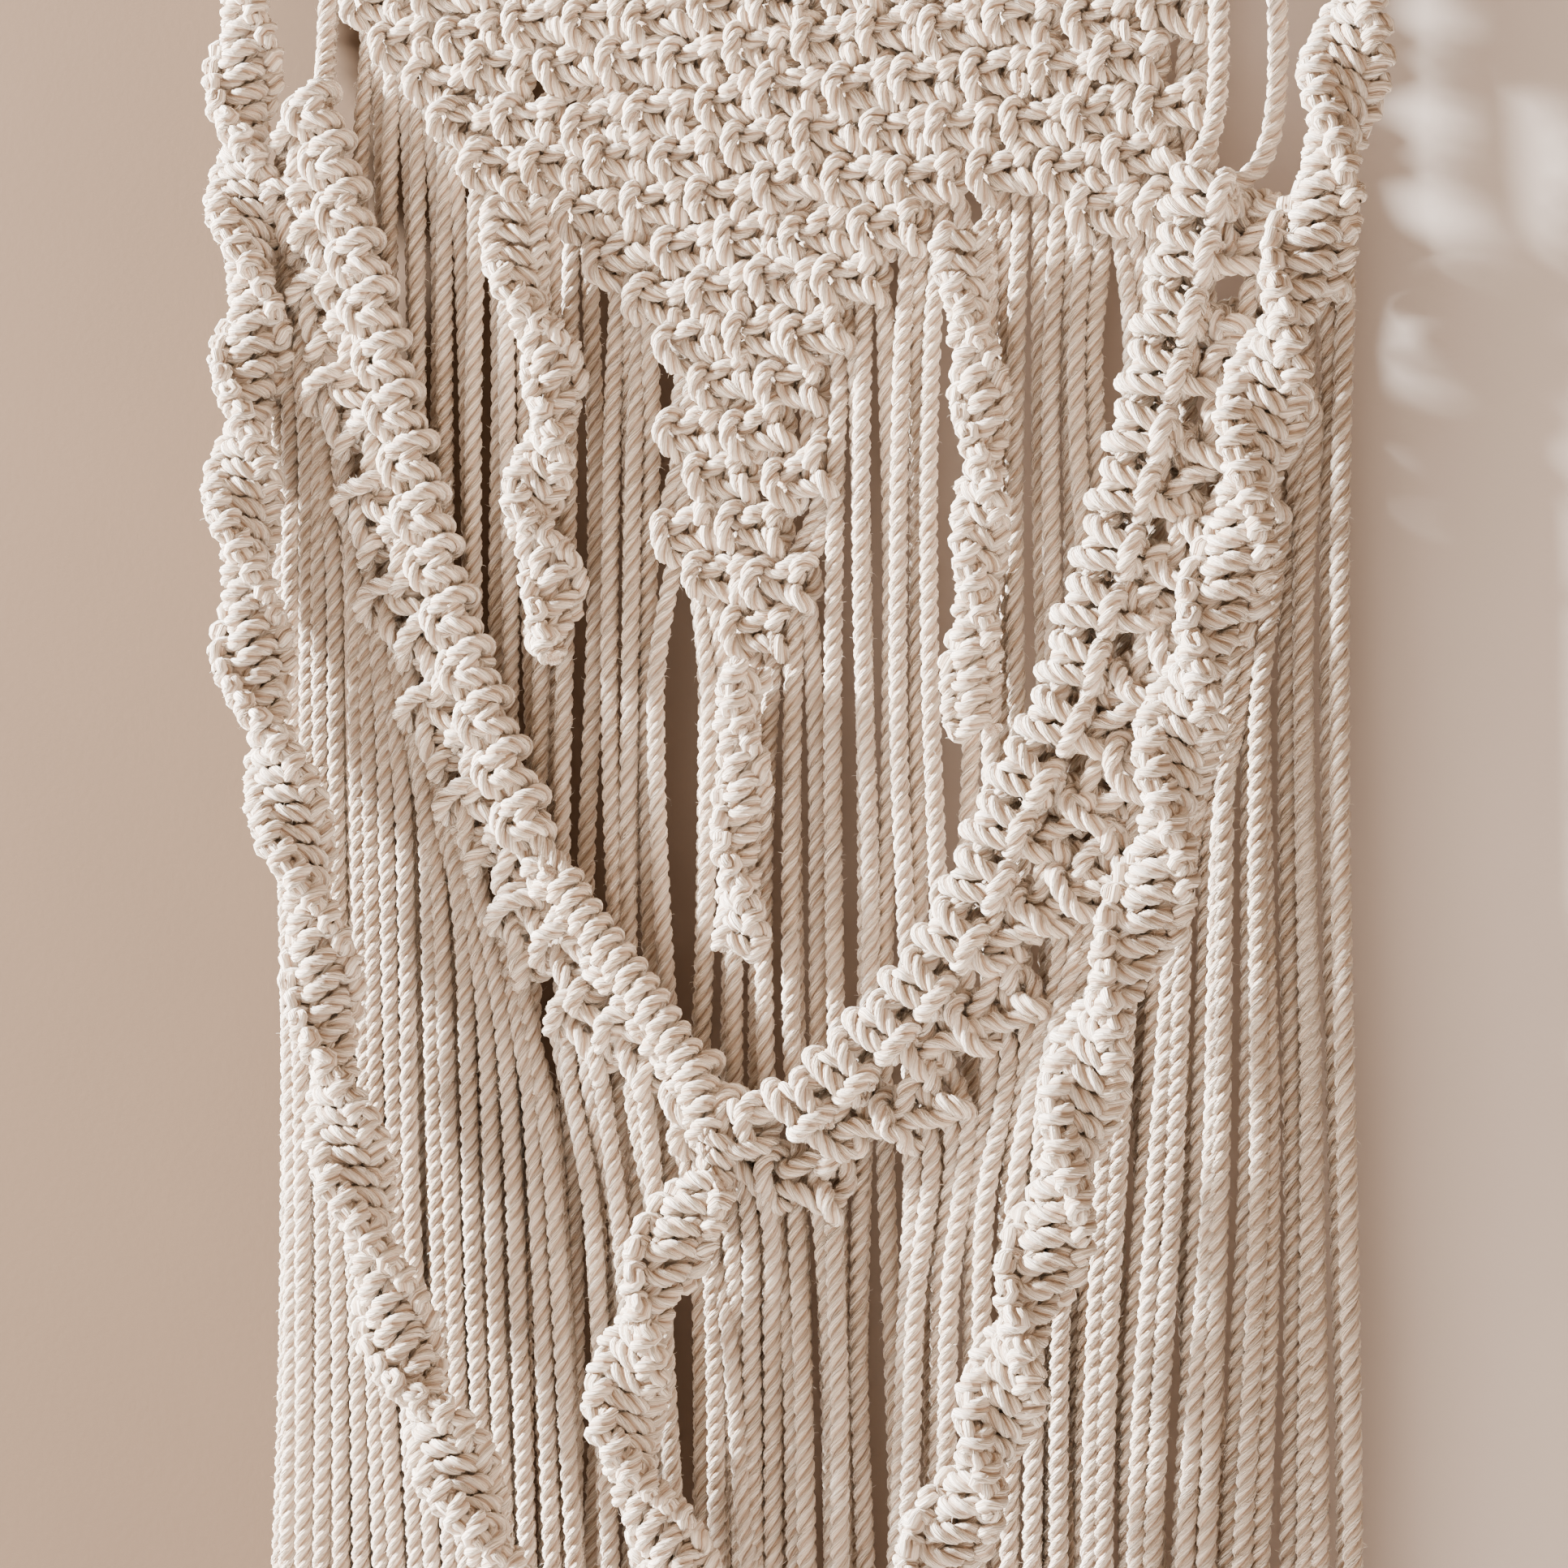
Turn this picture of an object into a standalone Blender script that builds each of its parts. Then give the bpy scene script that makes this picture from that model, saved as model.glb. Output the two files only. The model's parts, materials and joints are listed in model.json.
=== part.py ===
"""A knotted cotton-cord wall hanging on a wooden dowel, hung on a nail by a cord.

Metres, +Z up. The origin is the point where the hanger cord rests on the nail. The wall is at +Y, the
viewer at -Y, and +X is to the viewer's right. Lists of points are in millimetres and are scaled by MM.
"""

import math

import bmesh
import bpy
from mathutils import Vector

MM = 0.001

# Driving dimensions, in millimetres.
CORD = 5.0
GAP = 0.4
DOWEL_Z = -130.0
DOWEL_RADIUS = 9.0
DOWEL_HALF_LENGTH = 198.0
DOWEL_CHAMFER = 1.2
SLEEVE_CLEARANCE = 0.35
SLEEVE_WALL = 5.2
PANEL_HALF_WIDTH = 118.5
PANEL_THICKNESS = 13.0
CURTAIN_GROUPS = 13
CURTAIN_THICKNESS = 6.4
RIDGE_RADIUS = 5.5
BAND_THICKNESS = 11.6
FRINGE_THICKNESS = 7.0
EDGE_CLEARANCE = 1.6
RIDGE_CLEARANCE = 1.0
SWAG_DEPTH = 9.8
SWAG_FOLD_X = 120.0
SWAG_FOLD_WIDTH = 18.0
SWAG_FALL_BACK = 8.0
GARLAND_RADIUS = 9.0
REAR_SPIRAL_RADIUS = 6.6
CENTRE_SPIRAL_RADIUS = 9.0
CENTRE_TAIL_RADIUS = 5.5
CURTAIN_END_Z = -790.0
FRINGE_END_Z = -800.0
FRINGE_FAN = 1.09
CENTRE_FRINGE_TOP_Z = -497.0
FRINGE_GROUPS_LEFT = 7
FRINGE_GROUPS_RIGHT = 8

KNOT_ROW_TOP_Z = DOWEL_Z - DOWEL_RADIUS - SLEEVE_CLEARANCE - SLEEVE_WALL - GAP

# Stepped lower edge of the rear panel, from left to right, as (x, z).
PANEL_EDGE = [
    (-118.5, -207), (-108, -219), (-97, -228), (-82, -236), (-70, -250), (-52, -263), (-44, -279),
    (-30, -289), (-22, -300), (-20.5, -352), (-9, -364), (4, -364), (13, -354), (16, -302), (28, -288),
    (40, -280), (52, -263), (64, -258), (78, -271), (104, -274), (118.5, -264),
]

# Inner ridges of the swag, from the top to the tip, as (x, y, z).
RIDGE_LEFT = [
    (-123.8, -9.4, -215), (-111.5, -10.2, -247), (-100.7, -11, -280), (-91, -11.4, -313), (-76, -12, -358),
    (-61, -13, -393), (-46.6, -14, -423), (-25, -15, -448), (-11, -16, -466),
]
RIDGE_RIGHT = [
    (118.5, -13.4, -255), (110.5, -12.6, -284), (102.5, -12, -312), (96.4, -12, -334), (88.5, -12, -358),
    (80.3, -12.4, -382), (69, -13, -401), (56.5, -14, -429), (41.5, -14.4, -448), (21, -15, -467),
    (9.5, -16, -474),
]

# Outlines of the swag's knot bands outside the ridges, as (x, z): the shoulder at the top, then the lower
# edge, from which the fringe hangs, down to the tip.
BAND_SHOULDER_LEFT = [(-131, -224)]
BAND_EDGE_LEFT = [
    (-131, -298), (-118, -331), (-106, -363), (-89, -393), (-73, -417), (-52, -437), (-36, -463), (-20, -482),
    (-11, -488),
]
BAND_SHOULDER_RIGHT = [(138, -259), (150, -280)]
BAND_EDGE_RIGHT = [
    (152, -302), (142, -336), (132, -363), (122, -389), (111, -406), (99, -417), (85, -436), (71, -461),
    (50, -482), (23, -497), (10, -495),
]

# Straight cords from the dowel to the top of each arm, as (x, y, lower end z).
LEADS_LEFT = [(-125.0, -4.0, -207.0)]
LEADS_RIGHT = [(121.5, -10.5, -248.0), (130.5, -3.0, -256.0)]

# Draped centreline of the outer garland, from the dowel to its lowest point on each side.
GARLAND_LEFT = [
    (-151, -1, -148), (-151, -3, -190), (-149.5, -5.5, -222), (-145, -9.5, -251), (-140, -15, -284),
    (-137, -22.5, -324), (-131, -27.5, -362), (-118.5, -30, -399), (-108.7, -31, -439), (-98.3, -32, -487),
    (-85.7, -33, -526), (-66.4, -34, -561), (-54.5, -34, -586), (-42.5, -34, -610.5),
]
GARLAND_RIGHT = [
    (156, -1, -148), (156, -3, -190), (155.4, -5.5, -222), (152.3, -9, -240), (148.5, -19, -275),
    (139.5, -25, -312), (135.7, -26.5, -330), (129.6, -28.5, -359), (120.6, -30, -388), (113.5, -31, -424),
    (100.2, -31.5, -460), (88.6, -32, -503), (81, -33, -530), (69.3, -34, -562), (59.1, -34, -580),
    (44.5, -34, -608.5),
]
GARLAND_BOTTOM = [
    (-41.3, -34, -613), (-32, -34, -633), (-19, -34, -653), (0, -34, -662), (20, -34, -652), (33, -34, -632),
    (43.5, -34, -611),
]

# Half-knot spirals that hang in front of the curtain.
REAR_SPIRAL_LEFT = [
    (-61.5, -14, -268), (-59, -11.4, -282), (-52.5, -10.6, -296), (-54.5, -10.6, -315), (-61, -10.6, -331),
    (-52.5, -10.6, -347), (-56, -10.6, -366),
]
REAR_SPIRAL_RIGHT = [
    (59, -13.8, -268), (60.5, -11, -294), (64, -10.6, -317), (62.5, -10.6, -344), (60.3, -10.6, -368),
    (60.5, -10.6, -388),
]
REAR_SPIRAL_CENTRE = [
    (1, -10.6, -369), (-2.6, -10.6, -380), (0, -10.6, -396), (-1.5, -10.6, -414), (0.5, -10.6, -432),
    (-1, -10.6, -440),
]
CENTRE_SPIRAL = [
    (-3, -26, -501), (-10, -27.5, -512), (-16, -28, -526), (-22, -29, -544), (-19.5, -29, -565),
    (-8, -29, -583), (-4, -29, -598),
]
CENTRE_TAIL = [(-4, -29, -602), (-5, -29, -614), (-3, -29, -627), (-4, -29, -640)]
TIP_KNOT = (-1, -19.5, -488)
TIP_KNOT_SIZE = (15, 13, 15)
TIP_KNOT_ROUNDING = 3.0

# Hanger cord: up from the left end wrap, over the nail and down to the right end wrap.
HANGER_X = 180.0
HANGER_HALF = [
    (HANGER_X, 0, DOWEL_Z + 17.4), (150, 0, -94), (100, 0, -61.6), (50, 0, -29), (20, 0, -9), (9, 0, -1.6),
    (4, 0, 1.6),
]
HANGER_TOP = (0, 0, 2.6)
HANGER_WRAP_LENGTH = 16.0

# Where each group of loops sits along the dowel, as (low x, high x).
SWAG_HEAD_LEFT = (-131.0, -119.3)
SWAG_HEAD_RIGHT = (119.3, 134.0)
GARLAND_HEAD_LEFT = (-159.0, -143.0)
GARLAND_HEAD_RIGHT = (148.0, 164.0)

COTTON = ("cotton_cord", (0.80, 0.71, 0.60), 0.92)
WOOD = ("dowel_wood", (0.62, 0.45, 0.29), 0.55)


def clear_scene():
    for item in list(bpy.data.objects):
        bpy.data.objects.remove(item, do_unlink=True)


def material(name, colour, roughness):
    """The shared Principled material of this name, made on first use."""
    made = bpy.data.materials.get(name)
    if made is None:
        made = bpy.data.materials.new(name)
        made.use_nodes = True
        shader = made.node_tree.nodes["Principled BSDF"]
        shader.inputs["Base Color"].default_value = (*colour, 1.0)
        shader.inputs["Roughness"].default_value = roughness
        shader.inputs["Metallic"].default_value = 0.0
    return made


def add_object(name, data, finish, parent=None):
    item = bpy.data.objects.new(name, data)
    bpy.context.scene.collection.objects.link(item)
    data.materials.append(material(*finish))
    if parent is not None:
        item.parent = parent
        item.matrix_parent_inverse = parent.matrix_world.inverted()
    return item


def pivot(name, location):
    """An empty on a joint's axis, to which the moving body's pieces are parented."""
    empty = bpy.data.objects.new(name, None)
    empty.empty_display_size = 0.02
    empty.location = Vector(location) * MM
    bpy.context.scene.collection.objects.link(empty)
    bpy.context.view_layer.update()
    return empty


def smooth_curve(points, spacing):
    """Points about `spacing` apart on the Catmull-Rom curve through `points`."""
    knots = [Vector(p) for p in points]
    knots = [2 * knots[0] - knots[1], *knots, 2 * knots[-1] - knots[-2]]
    path = []
    for a, b, c, d in zip(knots, knots[1:], knots[2:], knots[3:]):
        steps = max(1, round((c - b).length / spacing))
        for i in range(steps):
            t = i / steps
            path.append(
                0.5 * (2 * b + (c - a) * t + (2 * a - 5 * b + 4 * c - d) * t**2 + (3 * b - a - 3 * c + d) * t**3)
            )
    path.append(knots[-2])
    return path


def tube(name, points, radius, finish, parent=None, spacing=12.0, sides=2):
    """A round cord along a smooth curve through the points, with filled ends."""
    data = bpy.data.curves.new(name, "CURVE")
    data.dimensions = "3D"
    data.bevel_depth = radius * MM
    data.bevel_resolution = sides
    data.use_fill_caps = True
    path = smooth_curve(points, spacing)
    spline = data.splines.new("POLY")
    spline.points.add(len(path) - 1)
    for point, place in zip(spline.points, path):
        point.co = (*(place * MM), 1.0)
    return add_object(name, data, finish, parent)


def slab(name, outline, depth, thickness, finish, parent=None, folds=()):
    """A flat solid with the outline (x, z), facing the viewer; depth(x) is the y of its middle there.

    `folds` are the x at which the depth changes slope.
    """
    data = bpy.data.meshes.new(name)
    mesh = bmesh.new()
    face = mesh.faces.new([mesh.verts.new(Vector((x, 0, z)) * MM) for x, z in outline])
    bmesh.ops.triangulate(mesh, faces=[face], quad_method="BEAUTY", ngon_method="EAR_CLIP")
    for x in folds:
        parts = [*mesh.verts, *mesh.edges, *mesh.faces]
        bmesh.ops.bisect_plane(mesh, geom=parts, plane_co=(x * MM, 0, 0), plane_no=(1, 0, 0), dist=1e-7)
    front = list(mesh.verts)
    grown = bmesh.ops.extrude_face_region(mesh, geom=list(mesh.faces))["geom"]
    back = [item for item in grown if isinstance(item, bmesh.types.BMVert)]
    for corners, offset in ((front, -thickness / 2), (back, thickness / 2)):
        for corner in corners:
            corner.co.y = (depth(corner.co.x / MM) + offset) * MM
    bmesh.ops.recalc_face_normals(mesh, faces=mesh.faces)
    mesh.to_mesh(data)
    mesh.free()
    return add_object(name, data, finish, parent)


def turned_about_dowel(name, profile, finish, parent=None, steps=24):
    """A ring turned about the dowel's axis from a closed profile of (x, radius)."""
    data = bpy.data.meshes.new(name)
    mesh = bmesh.new()
    rings = []
    for step in range(steps):
        angle = math.tau * step / steps
        ring = [(x, radius * math.sin(angle), DOWEL_Z + radius * math.cos(angle)) for x, radius in profile]
        rings.append([mesh.verts.new(Vector(corner) * MM) for corner in ring])
    for ring, following in zip(rings, rings[1:] + rings[:1]):
        for i in range(len(profile)):
            j = (i + 1) % len(profile)
            mesh.faces.new((ring[i], ring[j], following[j], following[i]))
    bmesh.ops.recalc_face_normals(mesh, faces=mesh.faces)
    mesh.to_mesh(data)
    mesh.free()
    data.shade_smooth()
    data.set_sharp_from_angle(angle=math.radians(40))
    return add_object(name, data, finish, parent)


def sleeve(name, low_x, high_x, parent=None):
    """A row of cord loops round the dowel, as one open ring."""
    inner = DOWEL_RADIUS + SLEEVE_CLEARANCE
    outer = inner + SLEEVE_WALL
    profile = [(low_x, inner), (high_x, inner), (high_x, outer), (low_x, outer)]
    return turned_about_dowel(name, profile, COTTON, parent)


def dowel():
    data = bpy.data.meshes.new("dowel")
    mesh = bmesh.new()
    bmesh.ops.create_cone(
        mesh, cap_ends=True, segments=32, radius1=DOWEL_RADIUS * MM, radius2=DOWEL_RADIUS * MM,
        depth=2 * DOWEL_HALF_LENGTH * MM,
    )
    for vertex in mesh.verts:
        vertex.co = Vector((vertex.co.z, vertex.co.y, -vertex.co.x))
    mesh.to_mesh(data)
    mesh.free()
    data.shade_smooth()
    data.set_sharp_from_angle(angle=math.radians(40))
    rod = add_object("dowel", data, WOOD)
    rod.location = Vector((0, 0, DOWEL_Z)) * MM
    edge = rod.modifiers.new("sawn_edge", "BEVEL")
    edge.width = DOWEL_CHAMFER * MM
    edge.segments = 1
    edge.limit_method = "ANGLE"


def hanger():
    mirrored = [(-x, y, z) for x, y, z in HANGER_HALF]
    tube("hanger_cord", [*mirrored, HANGER_TOP, *reversed(HANGER_HALF)], CORD / 2, COTTON, sides=2)
    for side, sign in (("left", -1), ("right", 1)):
        ends = sorted((sign * (HANGER_X - HANGER_WRAP_LENGTH / 2), sign * (HANGER_X + HANGER_WRAP_LENGTH / 2)))
        sleeve(f"hanger_wrap_{side}", *ends)


def across(points, x):
    """The z of the open outline at x, between its points."""
    for (x0, z0), (x1, z1) in zip(points, points[1:]):
        if x0 <= x <= x1:
            return z0 + (z1 - z0) * (x - x0) / max(x1 - x0, 1e-9)
    return points[0][1] if x < points[0][0] else points[-1][1]


def hanging_group(name, edge, low_x, high_x, end_z, depth, thickness, parent, fan=lambda x: x):
    """Hanging cords between low_x and high_x whose tops follow the edge above them."""
    inside = [(x, z) for x, z in edge if low_x + 1.0 < x < high_x - 1.0]
    top = [(low_x, across(edge, low_x)), *inside, (high_x, across(edge, high_x))]
    top = [(x, z - EDGE_CLEARANCE) for x, z in top]
    outline = [*top, (fan(high_x), end_z), (fan(low_x), end_z)]
    slab(name, outline, depth, thickness, COTTON, parent)


def rear_panel(parent):
    sleeve("panel_lark_heads", -PANEL_HALF_WIDTH, PANEL_HALF_WIDTH, parent)
    top = [(PANEL_HALF_WIDTH, KNOT_ROW_TOP_Z), (-PANEL_HALF_WIDTH, KNOT_ROW_TOP_Z)]
    slab("knotted_panel", [*PANEL_EDGE, *top], lambda x: 0.0, PANEL_THICKNESS, COTTON, parent)
    pitch = 2 * PANEL_HALF_WIDTH / CURTAIN_GROUPS
    for column in range(CURTAIN_GROUPS):
        low = -PANEL_HALF_WIDTH + column * pitch + GAP / 2
        hanging_group(
            f"curtain_cords_{column + 1:02d}", PANEL_EDGE, low, low + pitch - GAP, CURTAIN_END_Z, lambda x: 0.0,
            CURTAIN_THICKNESS, parent,
        )
    tube("rear_spiral_left", REAR_SPIRAL_LEFT, REAR_SPIRAL_RADIUS, COTTON, parent)
    tube("rear_spiral_right", REAR_SPIRAL_RIGHT, REAR_SPIRAL_RADIUS, COTTON, parent)
    tube("rear_spiral_centre", REAR_SPIRAL_CENTRE, REAR_SPIRAL_RADIUS, COTTON, parent)


def swag_depth(x):
    """The bands lie over the curtain, and fall back towards the wall beyond the panel's edges."""
    beyond = min(max((abs(x) - SWAG_FOLD_X) / SWAG_FOLD_WIDTH, 0.0), 1.0)
    return -SWAG_DEPTH + SWAG_FALL_BACK * beyond


def offset_outline(ridge, distance):
    """The (x, z) points beside a ridge, moved outwards and down by the distance."""
    flat = [Vector((x, z)) for x, _, z in ridge]
    moved = []
    for i, place in enumerate(flat):
        along = (flat[min(i + 1, len(flat) - 1)] - flat[max(i - 1, 0)]).normalized()
        outward = Vector((-along.y, along.x))
        if outward.x * place.x < 0:
            outward.negate()
        moved.append(tuple(place + outward * distance))
    return moved


def swag_arm(side, ridge, shoulder, edge, groups, leads, parent):
    tube(f"swag_ridge_{side}", ridge, RIDGE_RADIUS, COTTON, parent)
    inner = offset_outline(ridge, RIDGE_RADIUS + RIDGE_CLEARANCE)
    outline = [*inner, *reversed([*shoulder, *edge])]
    folds = [sign * x for sign in (-1, 1) for x in (SWAG_FOLD_X, SWAG_FOLD_X + SWAG_FOLD_WIDTH)]
    slab(f"swag_band_{side}", outline, swag_depth, BAND_THICKNESS, COTTON, parent, folds)
    edge = sorted(edge)
    pitch = (edge[-1][0] - edge[0][0]) / groups
    for group in range(groups):
        start = edge[0][0] + group * pitch + GAP / 2
        hanging_group(
            f"fringe_cords_{side}_{group + 1}", edge, start, start + pitch - GAP, FRINGE_END_Z, swag_depth,
            FRINGE_THICKNESS, parent, fan=lambda x: x * FRINGE_FAN,
        )
    for number, (x, y, end_z) in enumerate(leads, start=1):
        route = [(x, y, KNOT_ROW_TOP_Z), (x, y, (KNOT_ROW_TOP_Z + end_z) / 2), (x, y, end_z)]
        tube(f"swag_lead_{side}_{number}", route, CORD / 2, COTTON, parent, spacing=40.0)


def rounded_block(name, centre, size, parent):
    data = bpy.data.meshes.new(name)
    mesh = bmesh.new()
    bmesh.ops.create_cube(mesh, size=1.0)
    for vertex in mesh.verts:
        vertex.co = Vector(a * b * MM for a, b in zip(vertex.co, size)) + Vector(centre) * MM
    mesh.to_mesh(data)
    mesh.free()
    block = add_object(name, data, COTTON, parent)
    edge = block.modifiers.new("rounding", "BEVEL")
    edge.width = TIP_KNOT_ROUNDING * MM
    edge.segments = 2


def front_swag(parent):
    sleeve("swag_lark_head_left", *SWAG_HEAD_LEFT, parent)
    sleeve("swag_lark_head_right", *SWAG_HEAD_RIGHT, parent)
    swag_arm(
        "left", RIDGE_LEFT, BAND_SHOULDER_LEFT, BAND_EDGE_LEFT, FRINGE_GROUPS_LEFT, LEADS_LEFT, parent
    )
    swag_arm(
        "right", RIDGE_RIGHT, BAND_SHOULDER_RIGHT, BAND_EDGE_RIGHT, FRINGE_GROUPS_RIGHT, LEADS_RIGHT, parent
    )
    rounded_block("swag_tip_knot", TIP_KNOT, TIP_KNOT_SIZE, parent)
    low, high = BAND_EDGE_LEFT[-1][0] + GAP, BAND_EDGE_RIGHT[-1][0] - GAP
    edge = [(low, CENTRE_FRINGE_TOP_Z), (high, CENTRE_FRINGE_TOP_Z)]
    hanging_group(
        "fringe_cords_centre", edge, low, high, FRINGE_END_Z, swag_depth, FRINGE_THICKNESS, parent,
        fan=lambda x: x * FRINGE_FAN,
    )


def centre_spiral(parent):
    tube("centre_spiral", CENTRE_SPIRAL, CENTRE_SPIRAL_RADIUS, COTTON, parent)
    tube("centre_spiral_tail", CENTRE_TAIL, CENTRE_TAIL_RADIUS, COTTON, parent)


def garland(parent):
    sleeve("garland_lark_head_left", *GARLAND_HEAD_LEFT, parent)
    sleeve("garland_lark_head_right", *GARLAND_HEAD_RIGHT, parent)
    tube("garland_left", GARLAND_LEFT, GARLAND_RADIUS, COTTON, parent)
    tube("garland_right", GARLAND_RIGHT, GARLAND_RADIUS, COTTON, parent)
    tube("garland_bottom", GARLAND_BOTTOM, GARLAND_RADIUS, COTTON, parent)


def build():
    clear_scene()
    dowel()
    hanger()
    dowel_axis = (0, 0, DOWEL_Z)
    rear_panel(pivot("rear_panel_swing", dowel_axis))
    front_swag(pivot("front_swag_swing", dowel_axis))
    centre_spiral(pivot("centre_spiral_swing", (-3, TIP_KNOT[1], TIP_KNOT[2])))
    garland(pivot("garland_swing", dowel_axis))


build()
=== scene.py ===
"""The looks of a knotted cotton-cord wall hanging.

Every cord is laid as three-strand rope along its real course, knot by knot. Points and sizes are in
millimetres in the CAD frame, and are scaled by MM when meshes are made. The wall is at +Y, the viewer at -Y,
and +X is to the viewer's right. The surroundings, camera and lights are in metres.
"""

import json
import math

import bpy
import numpy as np
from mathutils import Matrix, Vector

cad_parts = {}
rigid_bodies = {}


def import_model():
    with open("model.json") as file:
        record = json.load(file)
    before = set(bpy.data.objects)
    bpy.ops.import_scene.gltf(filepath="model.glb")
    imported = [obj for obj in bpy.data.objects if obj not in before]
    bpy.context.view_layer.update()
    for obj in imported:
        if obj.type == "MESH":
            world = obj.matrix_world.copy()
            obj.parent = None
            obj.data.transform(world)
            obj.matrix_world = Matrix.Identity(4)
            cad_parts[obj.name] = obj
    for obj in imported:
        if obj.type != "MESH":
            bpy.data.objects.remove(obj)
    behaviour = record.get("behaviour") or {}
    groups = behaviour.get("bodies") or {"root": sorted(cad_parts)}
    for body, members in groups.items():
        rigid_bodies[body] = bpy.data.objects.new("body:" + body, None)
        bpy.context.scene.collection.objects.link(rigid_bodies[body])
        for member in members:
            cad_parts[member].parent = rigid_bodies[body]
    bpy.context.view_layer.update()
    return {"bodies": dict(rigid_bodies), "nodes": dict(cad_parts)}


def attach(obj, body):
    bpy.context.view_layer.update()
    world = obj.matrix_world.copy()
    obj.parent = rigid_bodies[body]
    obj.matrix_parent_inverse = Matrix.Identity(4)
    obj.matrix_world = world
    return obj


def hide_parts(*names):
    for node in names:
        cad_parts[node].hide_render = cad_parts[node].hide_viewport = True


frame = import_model()

MM = 0.001
UP = np.array((0.0, 0.0, 1.0))
RIGHT = np.array((1.0, 0.0, 0.0))
FRONT = np.array((0.0, -1.0, 0.0))
DOWN = -UP
random = np.random.default_rng(20)

# Rope. STRAND_RADIUS and STRAND_OFFSET, a strand's distance from the rope's axis, are shares of the rope's
# radius. PROFILE_OFFSETS are the angles of a strand's points, in degrees from its middle.
ROPE_RADIUS = 2.62
CURTAIN_ROPE_RADIUS = 2.42
FRINGE_ROPE_RADIUS = 2.5
REAR_SPIRAL_ROPE_RADIUS = 2.5
CENTRE_SPIRAL_ROPE_RADIUS = 2.6
COIL_ROPE_RADIUS = 2.3
COIL_CORE_ROPE_RADIUS = 2.2
TIP_ROPE_RADIUS = 2.1
LAY_PITCH = 12.5
STRAND_RADIUS = 0.55
STRAND_OFFSET = 0.45
PROFILE_OFFSETS = (-60.0, -40.0, -14.0, 14.0, 40.0)
RING_SPACING = 1.0
FUZZ_PER_MM = 0.45

# Dowel and hanger
DOWEL_Z = -130.0
DOWEL_RADIUS = 9.0
HANGER_X = 180.0
HANGER_HALF = [
    (180, 0, -112.6), (150, 0, -94), (100, 0, -61.6), (50, 0, -29), (20, 0, -9), (9, 0, -1.6), (4, 0, 1.6),
]
HANGER_TOP = (0, 0, 2.6)
WRAP_TURNS = 3
WRAP_STEP = 3.57
WRAP_HALF_WIDTH = 5.4
WRAP_GAP = 0.2

# Rear panel: a net of alternating square knots, then straight cords
CORD_PITCH = 4.55
PANEL_CORDS = 52
KNOT_CORDS = 4
CORDS_PER_PANEL_PIECE = 8
FIRST_ROW_Z = -158.6
ROW_STEP = 11.8
NET_PULL = 1.3
ROW_COUNT = 18
CURTAIN_END_Z = -788.0
CURTAIN_LAYERS = (-1.8, 3.0)
PANEL_EDGE = [
    (-118.5, -207), (-108, -219), (-97, -228), (-82, -236), (-70, -250), (-52, -263), (-44, -279),
    (-30, -289), (-22, -300), (-20.5, -352), (-9, -364), (4, -364), (13, -354), (16, -302), (28, -288),
    (40, -280), (52, -263), (64, -258), (78, -271), (104, -274), (118.5, -264),
]

# Swag: a strip of knots hung as a U, with its ridge as the upper edge
RIDGE_LEFT = [
    (-123.8, -9.4, -215), (-111.5, -10.2, -247), (-100.7, -11, -280), (-91, -11.4, -313), (-76, -12, -358),
    (-61, -13, -393), (-46.6, -14, -423), (-25, -15, -448), (-11, -16, -466),
]
RIDGE_RIGHT = [
    (118.5, -13.4, -255), (110.5, -12.6, -284), (102.5, -12, -312), (96.4, -12, -334), (88.5, -12, -358),
    (80.3, -12.4, -382), (69, -13, -401), (56.5, -14, -429), (41.5, -14.4, -448), (21, -15, -467),
    (9.5, -16, -474),
]
LEAD_HEAD_LEFT = (-127.4, -122.8)
LEAD_HEAD_RIGHT = (124.2, 128.8)
LEAD_LEFT = (-125.0, -4.0, -207.0)
LEADS_RIGHT = [(121.5, -10.5, -248.0), (130.5, -3.0, -256.0)]
SWAG_DEPTH = 9.8
SWAG_FOLD_X = 120.0
SWAG_FOLD_WIDTH = 18.0
SWAG_FALL_BACK = 8.0
UNIT = 13.8
FRINGE_END_Z = -798.0
FRINGE_SPANS = {"left": (-131.0, -11.0, 7), "right": (10.0, 152.0, 8)}
FRINGE_ENDS = {"left": (-142.0, -12.0), "right": (12.0, 151.0)}
FRINGE_SWAY = 1.8
FRINGE_WANDER = 0.5

# Half-knot sinnets, and the two lark's heads at each end of the garland
GARLAND_HEADS = {
    "left": [(-157.6, -153.2), (-148.8, -144.4)],
    "right": [(149.6, 154.0), (158.4, 162.6)],
}
GARLAND_LEFT = [
    (-151, -1, -148), (-151, -3, -190), (-149.5, -5.5, -222), (-145, -9.5, -251), (-140, -15, -284),
    (-137, -22.5, -324), (-131, -27.5, -362), (-118.5, -30, -399), (-108.7, -31, -439), (-98.3, -32, -487),
    (-85.7, -33, -526), (-66.4, -34, -561), (-54.5, -34, -586), (-42.5, -34, -610.5),
]
GARLAND_RIGHT = [
    (156, -1, -148), (156, -3, -190), (155.4, -5.5, -222), (152.3, -9, -240), (148.5, -19, -275),
    (139.5, -25, -312), (135.7, -26.5, -330), (129.6, -28.5, -359), (120.6, -30, -388), (113.5, -31, -424),
    (100.2, -31.5, -460), (88.6, -32, -503), (81, -33, -530), (69.3, -34, -562), (59.1, -34, -580),
    (44.5, -34, -608.5),
]
GARLAND_BOTTOM = [
    (-41.3, -34, -613), (-32, -34, -633), (-19, -34, -653), (0, -34, -662), (20, -34, -652), (33, -34, -632),
    (43.5, -34, -611),
]
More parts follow.
